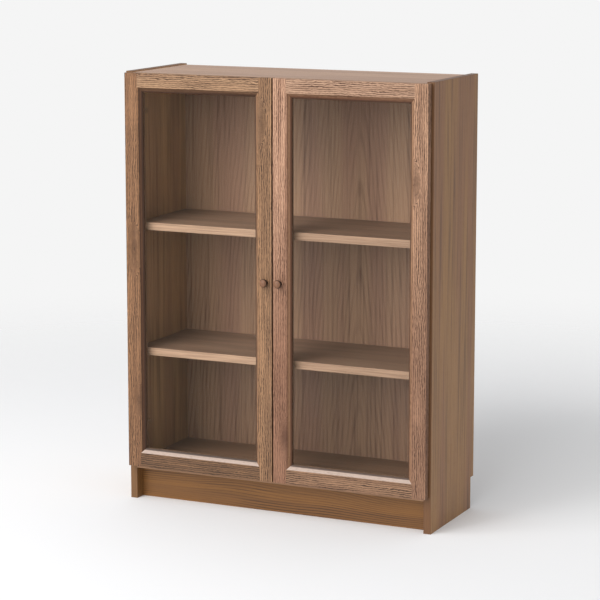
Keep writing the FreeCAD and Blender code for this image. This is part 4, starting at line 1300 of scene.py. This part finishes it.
@dataclass
class FittingSet:
    """Equal fittings that one body carries, baked to a plain mesh.

    Attributes:
        name: Name of the piece.
        body: Body that it rides on.
        stands_for: Nodes that it replaces.
        slot: Material slot of the record.
        places: Place of each fitting's seat and the way its head faces.
    """

    name: str
    body: str
    stands_for: tuple[str, ...]
    slot: str
    places: list[Place]

    def make(self, tree: FittingTree, sizes: dict[str, float]) -> None:
        """Runs the tree on the places and keeps the result as a mesh.

        Args:
            tree: The geometry tree of the fitting.
            sizes: Length of each named input, in metres.
        """
        mesh = bpy.data.meshes.new(f"{self.name}_points")
        mesh.from_pydata([place for place, _ in self.places], [], [])
        facing = mesh.attributes.new("facing", "FLOAT_VECTOR", "POINT")
        facing.data.foreach_set("vector", [part for _, way in self.places for part in way])
        piece = put(self.name, mesh)
        modifier = piece.modifiers.new("fittings", "NODES")
        modifier.node_group = tree.tree
        for name, identifier in tree.names.items():
            modifier[identifier] = sizes[name]
        baked = bpy.data.meshes.new_from_object(
            piece.evaluated_get(bpy.context.evaluated_depsgraph_get())
        )
        piece.modifiers.clear()
        piece.data = baked
        bpy.data.meshes.remove(mesh)
        baked.name = self.name
        attach(piece, self.body, self.slot, self.stands_for)


def attach(piece: bpy.types.Object, body: str, slot: str, stands_for: Iterable[str]) -> None:
    """Puts a new piece on its body and hides the nodes that it stands for.

    Args:
        piece: The piece.
        body: Body that it rides on.
        slot: Material slot of the record. Not used.
        stands_for: Nodes that it replaces.
    """
    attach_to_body(piece, body)
    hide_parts(*stands_for)
    LOG.info("%s on %s, %d faces", piece.name, body, len(piece.data.polygons))


def islands(node: str) -> list[tuple[Vector, Vector]]:
    """Boxes of the separate solids of a node, read from a merged copy of its mesh.

    Args:
        node: Name of the node.

    Returns:
        Lowest and highest corner of each solid, in a fixed order.
    """
    shape = bmesh.new()
    shape.from_mesh(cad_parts[node].data)
    bmesh.ops.remove_doubles(shape, verts=shape.verts, dist=1e-6)
    left = set(shape.verts)
    found = []
    while left:
        stack = [left.pop()]
        part = []
        while stack:
            vert = stack.pop()
            part.append(vert.co.copy())
            for edge in vert.link_edges:
                other = edge.other_vert(vert)
                if other in left:
                    left.remove(other)
                    stack.append(other)
        low = Vector([min(p[i] for p in part) for i in range(3)])
        high = Vector([max(p[i] for p in part) for i in range(3)])
        found.append((low, high))
    shape.free()
    return sorted(found, key=lambda pair: tuple(round(part, 4) for part in pair[0]))


def seat_behind(low: Vector, high: Vector, depth: float) -> Place:
    """Seat of a fitting that is put in from behind.

    Args:
        low: Lowest corner of its box.
        high: Highest corner of its box.
        depth: Place of the seat on the Y axis, in metres.

    Returns:
        The seat and the way its head faces.
    """
    centre = (low + high) / 2
    return Vector((centre.x, depth, centre.z)), Vector((0, 1, 0))


# ---------------------------------------------------------------------------
# Sub-assemblies
# ---------------------------------------------------------------------------
@dataclass
class Carcass:
    """Boards, shelf pins and back panel nails. Sizes are metres.

    Attributes:
        palette: The finishes.
        pin_shank: Radius of a shelf pin's shank.
        pin_shank_length: Depth of the shank in the side panel.
        pin_rest_length: How far the rest stands out under the shelf.
        pin_rest_width: Width of the rest.
        pin_rest_height: Height of the rest.
        nail_shank: Radius of a nail's shank.
        nail_length: Length of a nail under its head.
        nail_head: Radius of its head.
        nail_head_height: Height of its head.
        nail_tip: Length of its point.
    """

    palette: Palette
    pin_shank: float = 0.0025
    pin_shank_length: float = 0.008
    pin_rest_length: float = 0.009
    pin_rest_width: float = 0.008
    pin_rest_height: float = 0.005
    nail_shank: float = 0.0008
    nail_length: float = 0.02
    nail_head: float = 0.002
    nail_head_height: float = 0.0008
    nail_tip: float = 0.0022

    def dress(self) -> None:
        """Gives the boards and the hidden fittings their finishes."""
        look = self.palette
        finishes = {
            "side_panel_right": look.side_right, "side_panel_left": look.side_left,
            "top_panel": look.top, "bottom_panel": look.bottom, "plinth": look.plinth,
            "back_panel": look.back, "shelf_lower": look.shelf, "shelf_upper": look.shelf,
            "panel_dowels": look.beech, "cam_nuts": look.cast, "cam_bolts": look.zinc,
        }
        for node, finish in finishes.items():
            wear(node, finish)

    def build_pins(self) -> None:
        """Shelf pins: a round shank and a flat rest with a rounded nose."""
        tree = FittingTree("shelf_pin")
        shank, reach = tree.size("Shank Radius"), tree.size("Shank Length")
        rest, width = tree.size("Rest Length"), tree.size("Rest Width")
        height = tree.size("Rest Height")
        straight = rest - width * 0.5
        shaft = tree.rod(shank, reach * -1, 0.0, 20)
        nose = tree.moved(
            tree.rod(width * 0.5, height * -0.5, height * 0.5, 24),
            tree.vector(0.0, 0.0, straight), (0.0, math.pi / 2, 0.0),
        )
        plate = tree.block(height, width, straight, tree.vector(0.0, 0.0, straight / 2))
        tree.end(tree.joined(shaft, plate, nose), self.palette.zinc, 0.0)
        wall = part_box("side_panel_right")[0].x
        places = []
        for low, high in islands("shelf_pins"):
            side = math.copysign(1, low.x)
            seat = Vector((wall * side, (low.y + high.y) / 2, high.z - self.pin_rest_height / 2))
            places.append((seat, Vector((-side, 0, 0))))
        FittingSet("shelf_pins_turned", "carcass", ("shelf_pins",), "pin_steel", places).make(
            tree,
            {"Shank Radius": self.pin_shank, "Shank Length": self.pin_shank_length,
             "Rest Length": self.pin_rest_length, "Rest Width": self.pin_rest_width,
             "Rest Height": self.pin_rest_height},
        )

    def build_nails(self) -> None:
        """Back panel nails: a shallow domed head, a shank and a point."""
        tree = FittingTree("panel_nail")
        radius, length = tree.size("Shank Radius"), tree.size("Shank Length")
        head, height = tree.size("Head Radius"), tree.size("Head Height")
        tip = tree.cone(radius, 0.00005, self.nail_tip, length, 10)
        shaft = tree.rod(radius, self.nail_tip - length, 0.0, 10)
        dome = tree.dome(head, height, 0.35, 4, 18)
        tree.end(tree.joined(shaft, tip, dome), self.palette.zinc, 0.5)
        places = [
            seat_behind(low, high, high.y - self.nail_head_height)
            for low, high in islands("back_panel_nails")
        ]
        FittingSet("back_nails", "carcass", ("back_panel_nails",), "screw_steel", places).make(
            tree,
            {"Shank Radius": self.nail_shank, "Shank Length": self.nail_length,
             "Head Radius": self.nail_head, "Head Height": self.nail_head_height},
        )


@dataclass(frozen=True)
class ScrewSize:
    """Lengths of one kind of cross screw, in metres.

    Attributes:
        head: Radius of the head.
        height: Height of the head.
        recess: Length of the cross.
        shank: Radius of the thread.
        length: Length under the head.
        pitch: Pitch of the thread.
    """

    head: float
    height: float
    recess: float
    shank: float
    length: float
    pitch: float

    def inputs(self) -> dict[str, float]:
        """The lengths by the names of the screw tree's inputs.

        Returns:
            Name and length of each input.
        """
        return {
            "Head Radius": self.head, "Head Height": self.height, "Recess": self.recess,
            "Shank Radius": self.shank, "Shank Length": self.length, "Pitch": self.pitch,
        }


class Side(Enum):
    """The two doors and the sign of their side on the X axis."""

    RIGHT = 1
    LEFT = -1

    @property
    def tag(self) -> str:
        """Ending of the side's node names."""
        return "right" if self is Side.RIGHT else "left"


@dataclass
class Door:
    """Framed glass door with its knob, knob screw and bumpers.

    Attributes:
        palette: The finishes.
        side: Side of the bookcase.
        flat: Width of the flat face of a stile or rail, in metres.
        late: How far past it the slant's tone begins on a stile, in metres.
        bumper_radius: Radius of a bumper, in metres.
        bumper_height: Height of a bumper, in metres.
        knob_screw_height: Height of the knob screw's head, in metres.
        knob_sides: Corners round a knob.
        knob_profile: Radius and distance from the door of the knob's outline, in
            millimetres: rounded foot, waist, flared underside and domed head.
    """

    palette: Palette
    side: Side
    flat: float = 0.034
    late: float = 0.003
    bumper_radius: float = 0.004
    bumper_height: float = 0.0017
    knob_screw_height: float = 0.0024
    knob_sides: int = 48
    knob_profile: tuple[tuple[float, float], ...] = (
        (0.0, 0.0), (5.6, 0.0), (6.2, 0.15), (6.5, 0.6), (6.4, 1.2), (5.95, 2.2), (5.45, 3.4),
        (5.1, 4.4), (5.2, 5.2), (6.2, 5.9), (7.7, 6.9), (8.9, 8.1), (9.7, 9.6), (10.0, 11.0),
        (9.9, 12.4), (9.4, 13.8), (8.5, 15.1), (7.1, 16.3), (5.2, 17.2), (2.7, 17.8), (0.0, 18.0),
    )

    def dress(self) -> None:
        """Gives the frame, the pane and the beads their finishes."""
        tag = self.side.tag
        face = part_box(f"door_stile_hinge_{tag}")[0].y
        for member in self._members():
            part = member.part
            wood = member.build(f"ash_{part}_{tag}", self._bevel(part, member.slant), face)
            wear(f"door_{part}_{tag}", wood)
        wear(f"door_glass_{tag}", self.palette.glass)
        wear(f"door_glazing_beads_{tag}", self.palette.beads)
        wear(f"door_frame_dowels_{tag}", self.palette.beech)

    def _members(self) -> list[Member]:
        """The two stiles and the two rails.

        Returns:
            The four members of this side's frame.
        """
        upright, level = Grain.UPRIGHT, Grain.LEVEL
        # Each slant tone paints how lit or shaded that slant is; the bottom rails' slants get the
        # painted sill highlight.
        if self.side is Side.RIGHT:
            arc = Knot(0.358, 0.83, 0.018, 0.3, 3.2)
            eye = Knot(0.033, 0.198, 0.017, 0.7, 3.4)
            return [
                Member("stile_hinge", upright, 11.0, Tint.DUSK, LIT, (arc,)),
                Member("stile_meeting", upright, 17.0, Tint.ROSE, HALF_LIT, (eye,)),
                Member("rail_top", level, 23.0, Tint.AMBER, HALF_SHADED),
                Member("rail_bottom", level, 29.0, Tint.UMBER, SILL_HIGHLIGHT),
            ]
        upper = Knot(-0.032, 0.955, 0.018, 0.4, 3.4)
        lower = Knot(-0.364, 0.256, 0.015, 0.45, 3.0)
        bow = Knot(-0.372, 0.628, 0.02, 0.3, 3.6)
        return [
            Member("stile_hinge", upright, 37.0, Tint.OLIVE, SHADED, (lower, bow)),
            Member("stile_meeting", upright, 41.0, Tint.FAWN, LIT, (upper,)),
            Member("rail_top", level, 47.0, Tint.HONEY, DEEP),
            Member("rail_bottom", level, 53.0, Tint.PEAT, SILL_HIGHLIGHT),
        ]

    def _bevel(self, part: str, tone: Tone) -> Bevel:
        """The slant of one member, past the flat part of its face.

        Args:
            part: Stile or rail.
            tone: sRGB tone of the slant, each part 0 to 255, which paints how lit or shaded the
                slant is.

        Returns:
            The slant.
        """
        low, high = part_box(f"door_{part}_{self.side.tag}")
        # The top rails and some stiles get a painted shade line at the crease.
        if part == "rail_top":
            return Bevel(2, high.z - self.flat, False, tone, brow=0.6)
        if part == "rail_bottom":
            return Bevel(
                2, low.z + self.flat, True, tone, veil=0.1, plain=0.85, root=0.0052, seam=0.0006
            )
        meeting = part == "stile_meeting"
        brow = 0.65 if meeting is (self.side is Side.RIGHT) else 0.0
        wide = self.flat + self.late
        inner, outer = sorted((abs(low.x), abs(high.x)))
        return Bevel(0, inner + wide if meeting else outer - wide, meeting, tone, brow=brow)

    def build_knob(self) -> None:
        """Turned knob with a rounded foot, a waist and a domed head."""
        tag = self.side.tag
        low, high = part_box(f"knob_{tag}")
        centre, back = (low + high) / 2, high.y
        shape = bmesh.new()
        rings = []
        for radius, out in self.knob_profile:
            y = back - out * MM
            ring = []
            for step in range(self.knob_sides if radius else 1):
                turn = 2 * math.pi * step / self.knob_sides
                ring.append(shape.verts.new((
                    centre.x + radius * MM * math.cos(turn), y,
                    centre.z + radius * MM * math.sin(turn),
                )))
            rings.append(ring)
        for before, after in zip(rings, rings[1:]):
            for step in range(self.knob_sides):
                corners = [before[step % len(before)], before[(step + 1) % len(before)],
                           after[(step + 1) % len(after)], after[step % len(after)]]
                shape.faces.new(list(dict.fromkeys(corners)))
        bmesh.ops.recalc_face_normals(shape, faces=shape.faces)
        for face in shape.faces:
            face.smooth = True
        mesh = bpy.data.meshes.new(f"turned_knob_{tag}")
        shape.to_mesh(mesh)
        shape.free()
        mesh.materials.append(self.palette.knob)
        attach(put(mesh.name, mesh), f"door_{tag}", "knob_wood", (f"knob_{tag}",))

    def build_knob_screw(self, tree: FittingTree) -> None:
        """Screw that holds the knob from behind.

        Args:
            tree: The screw's tree.
        """
        tag = self.side.tag
        low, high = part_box(f"knob_screw_{tag}")
        seat = high.y - self.knob_screw_height
        size = ScrewSize(0.004, self.knob_screw_height, 0.0048, 0.002, seat - low.y, 0.0012)
        FittingSet(
            f"knob_holding_screw_{tag}", f"door_{tag}", (f"knob_screw_{tag}",), "screw_steel",
            [seat_behind(low, high, seat)],
        ).make(tree, size.inputs())

    def build_bumpers(self, tree: FittingTree) -> None:
        """Soft domes behind the meeting stile.

        Args:
            tree: The bumper's tree.
        """
        tag = self.side.tag
        places = [
            seat_behind(low, high, low.y) for low, high in islands(f"door_bumpers_{tag}")
        ]
        FittingSet(
            f"soft_bumpers_{tag}", f"door_{tag}", (f"door_bumpers_{tag}",), "bumper_soft", places
        ).make(tree, {"Radius": self.bumper_radius, "Height": self.bumper_height})


@dataclass
class Hinges:
    """Plates, arms, links, cups and the screws of all four hinges.

    Attributes:
        palette: The finishes.
        plate_screw: Wood screw that holds a plate on the side panel.
        arm_screw: Machine screw that holds an arm on its plate.
        cup_screw: Wood screw that holds a cup in the hinge stile.
    """

    palette: Palette
    plate_screw: ScrewSize = ScrewSize(0.0034, 0.0016, 0.0042, 0.00175, 0.014, 0.0014)
    arm_screw: ScrewSize = ScrewSize(0.0036, 0.0018, 0.0046, 0.002, 0.008, 0.0008)
    cup_screw: ScrewSize = ScrewSize(0.0034, 0.0016, 0.0042, 0.00175, 0.0122, 0.0014)

    def dress(self) -> None:
        """Gives the pressed parts and the pins their finishes."""
        for side in Side:
            for part in ("plates", "arms", "outer_links", "inner_links", "cups"):
                wear(f"hinge_{part}_{side.tag}", self.palette.bronze)
            for part in ("arm_pins", "cup_pins"):
                wear(f"hinge_{part}_{side.tag}", self.palette.zinc)

    def screw_tree(self) -> FittingTree:
        """Wood or machine screw with a domed head, a cross recess and a thread.

        Returns:
            The screw's tree.
        """
        tree = FittingTree("cross_screw")
        radius, height = tree.size("Head Radius"), tree.size("Head Height")
        recess, shank = tree.size("Recess"), tree.size("Shank Radius")
        length, pitch = tree.size("Shank Length"), tree.size("Pitch")
        width = recess * 0.2
        top = tree.vector(0.0, 0.0, height)
        head = tree.less(
            tree.dome(radius, height, 0.45),
            tree.block(recess, width, height * 1.1, top),
            tree.block(width, recess, height * 1.1, top),
        )
        inner, point = shank * 0.8, shank * 1.6
        tip = tree.cone(inner, 0.0001, point, length, 14)
        core = tree.rod(inner, point - length, 0.0, 14)
        thread = tree.helix(shank * 0.82, shank * 1.2 - length, pitch * -1, pitch, shank * 0.18)
        tree.end(tree.joined(head, core, tip, thread), self.palette.bronze, math.pi)
        return tree

    def build_screws(self, tree: FittingTree) -> None:
        """Screws of the plates, of the arms and of the cups.

        Args:
            tree: The screw's tree.
        """
        for kind, size in (("plate", self.plate_screw), ("arm", self.arm_screw)):
            places = []
            for side in Side:
                for low, high in islands(f"hinge_{kind}_screws_{side.tag}"):
                    centre = (low + high) / 2
                    near = low.x if side is Side.RIGHT else high.x
                    seat = Vector((near + side.value * size.height, centre.y, centre.z))
                    places.append((seat, Vector((-side.value, 0, 0))))
            nodes = tuple(f"hinge_{kind}_screws_{side.tag}" for side in Side)
            FittingSet(f"{kind}_screws", "carcass", nodes, "screw_steel", places).make(
                tree, size.inputs()
            )
        for side in Side:
            node = f"hinge_cup_screws_{side.tag}"
            places = [
                seat_behind(low, high, high.y - self.cup_screw.height)
                for low, high in islands(node)
            ]
            FittingSet(
                f"cup_screws_{side.tag}", f"door_{side.tag}", (node,), "screw_steel", places
            ).make(tree, self.cup_screw.inputs())


def bumper_tree(palette: Palette) -> FittingTree:
    """Soft domed pad.

    Args:
        palette: The finishes.

    Returns:
        The pad's tree.
    """
    tree = FittingTree("door_bumper")
    dome = tree.dome(tree.size("Radius"), tree.size("Height"), 0.3, 6, 28)
    tree.end(dome, palette.pad, 0.0)
    return tree


def wear(node: str, material: bpy.types.Material) -> None:
    """Gives a node of the model its finish.

    Args:
        node: Name of the node.
        material: The finish.
    """
    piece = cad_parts[node]
    if not piece.material_slots:
        piece.data.materials.append(material)
    for slot in piece.material_slots:
        slot.link = "OBJECT"
        slot.material = material
    LOG.info("%s wears %s", node, material.name)


# ---------------------------------------------------------------------------
# Studio
# ---------------------------------------------------------------------------
@dataclass(frozen=True)
class Studio:
    """Floor, light and camera.

    Attributes:
        eye: Place of the camera.
        yaw: Turn of the view to the left of +Y, in degrees.
        pitch: Tilt of the view above the level, in degrees.
        lens: Focal length for a picture 36 wide.
        shift: Shift of the picture, across and up.
        backdrop: Brightness of the backdrop behind the floor.
        sky: Colour of the sky and the backdrop.
        sky_strength: Strength of the even light from all round.
        sun_strength: Strength of the broad light from the front.
        sun_way: Way from the object to that light.
        sun_spread: Its spread, in degrees.
        sun_tint: Its colour.
        key_power: Power of the soft box, in watts.
        key_place: Place of the soft box.
        key_aim: Point that it faces.
        key_size: Width and height of the soft box, in metres.
        floor_reach: Half the width of the floor, in metres.
        sight: Distance up to which the camera sees, in metres.
    """

    eye: Triple = (2.320, -4.966, 1.4885)
    yaw: float = 24.976
    pitch: float = -9.238
    lens: float = 137.66
    shift: tuple[float, float] = (0.0, -0.06)
    backdrop: float = 0.913
    sky: Colour = (1.0, 1.0, 1.0, 1.0)
    sky_strength: float = 0.62
    sun_strength: float = 1.9
    sun_way: Triple = (-0.16, -0.9, 0.36)
    sun_spread: float = 50.0
    sun_tint: Triple = (1.0, 0.985, 0.96)
    key_power: float = 38.0
    key_place: Triple = (-1.0, -1.7, 2.5)
    key_aim: Triple = (0.0, 0.0, 0.6)
    key_size: tuple[float, float] = (1.6, 1.2)
    floor_reach: float = 60.0
    sight: float = 200.0

    def build(self, palette: Palette) -> None:
        """Sets up the whole studio.

        Args:
            palette: The finishes.
        """
        self._floor(palette)
        self._sky()
        self._sun()
        self._key()
        self._camera()
        view = bpy.context.scene.view_settings
        view.view_transform = "Standard"
        view.look = "None"

    def _floor(self, palette: Palette) -> None:
        """Wide pale floor at z = 0.

        Args:
            palette: The finishes.
        """
        mesh = bpy.data.meshes.new("studio_floor")
        half = self.floor_reach
        corners = [(-half, -half, 0), (half, -half, 0), (half, half, 0), (-half, half, 0)]
        mesh.from_pydata(corners, [], [(0, 1, 2, 3)])
        mesh.materials.append(palette.floor)
        put("studio_floor", mesh)

    def _sky(self) -> None:
        """Even light from all round."""
        world = bpy.data.worlds.new("studio_sky")
        world.use_nodes = True
        bpy.context.scene.world = world
        work = NodeWork(world.node_tree)
        world.node_tree.nodes.clear()
        light = work.node(
            "ShaderNodeBackground", {}, {"Color": self.sky, "Strength": self.sky_strength}
        )
        seen = work.node(
            "ShaderNodeBackground", {}, {"Color": self.sky, "Strength": self.backdrop}
        )
        direct = work.node("ShaderNodeLightPath", output="Is Camera Ray")
        both = work.node("ShaderNodeMixShader", {}, {0: direct, 1: light, 2: seen})
        work.end_in("ShaderNodeOutputWorld", both)

    @staticmethod
    def _lamp(name: str, kind: str, power: float, way: Vector) -> bpy.types.Object:
        """Adds a lamp.

        Args:
            name: Its name.
            kind: Its type in Blender.
            power: Its strength, or its power in watts.
            way: Way from the object to the lamp.

        Returns:
            The lamp, turned towards the object.
        """
        light = bpy.data.lights.new(name, kind)
        light.energy = power
        lamp = put(name, light)
        lamp.rotation_mode = "QUATERNION"
        lamp.rotation_quaternion = way.to_track_quat("Z", "Y")
        return lamp

    def _sun(self) -> None:
        """Broad even light from the front."""
        way = Vector(self.sun_way)
        lamp = self._lamp("broad_front", "SUN", self.sun_strength, way)
        lamp.data.angle = math.radians(self.sun_spread)
        lamp.data.color = self.sun_tint

    def _key(self) -> None:
        """Soft box above the left front."""
        way = Vector(self.key_place) - Vector(self.key_aim)
        lamp = self._lamp("soft_key", "AREA", self.key_power, way)
        lamp.location = self.key_place
        lamp.data.shape = "RECTANGLE"
        lamp.data.size, lamp.data.size_y = self.key_size

    def _camera(self) -> None:
        """Camera at its stand."""
        data = bpy.data.cameras.new("camera")
        data.lens = self.lens
        data.sensor_width = 36.0
        data.shift_x, data.shift_y = self.shift
        data.clip_end = self.sight
        camera = put("camera", data)
        turn = Matrix.Rotation(math.radians(self.yaw), 4, "Z")
        tilt = Matrix.Rotation(math.radians(90 + self.pitch), 4, "X")
        camera.matrix_world = Matrix.Translation(self.eye) @ turn @ tilt
        bpy.context.scene.camera = camera


def main() -> None:
    """Builds every sub-assembly in order."""
    logging.basicConfig(level=logging.INFO, format="%(name)s: %(message)s")
    palette = Palette()
    Studio().build(palette)
    carcass = Carcass(palette)
    carcass.dress()
    carcass.build_pins()
    carcass.build_nails()
    hinges = Hinges(palette)
    hinges.dress()
    screws = hinges.screw_tree()
    hinges.build_screws(screws)
    pads = bumper_tree(palette)
    for side in Side:
        door = Door(palette, side)
        door.dress()
        door.build_knob()
        door.build_knob_screw(screws)
        door.build_bumpers(pads)


if __name__ == "__main__":
    main()
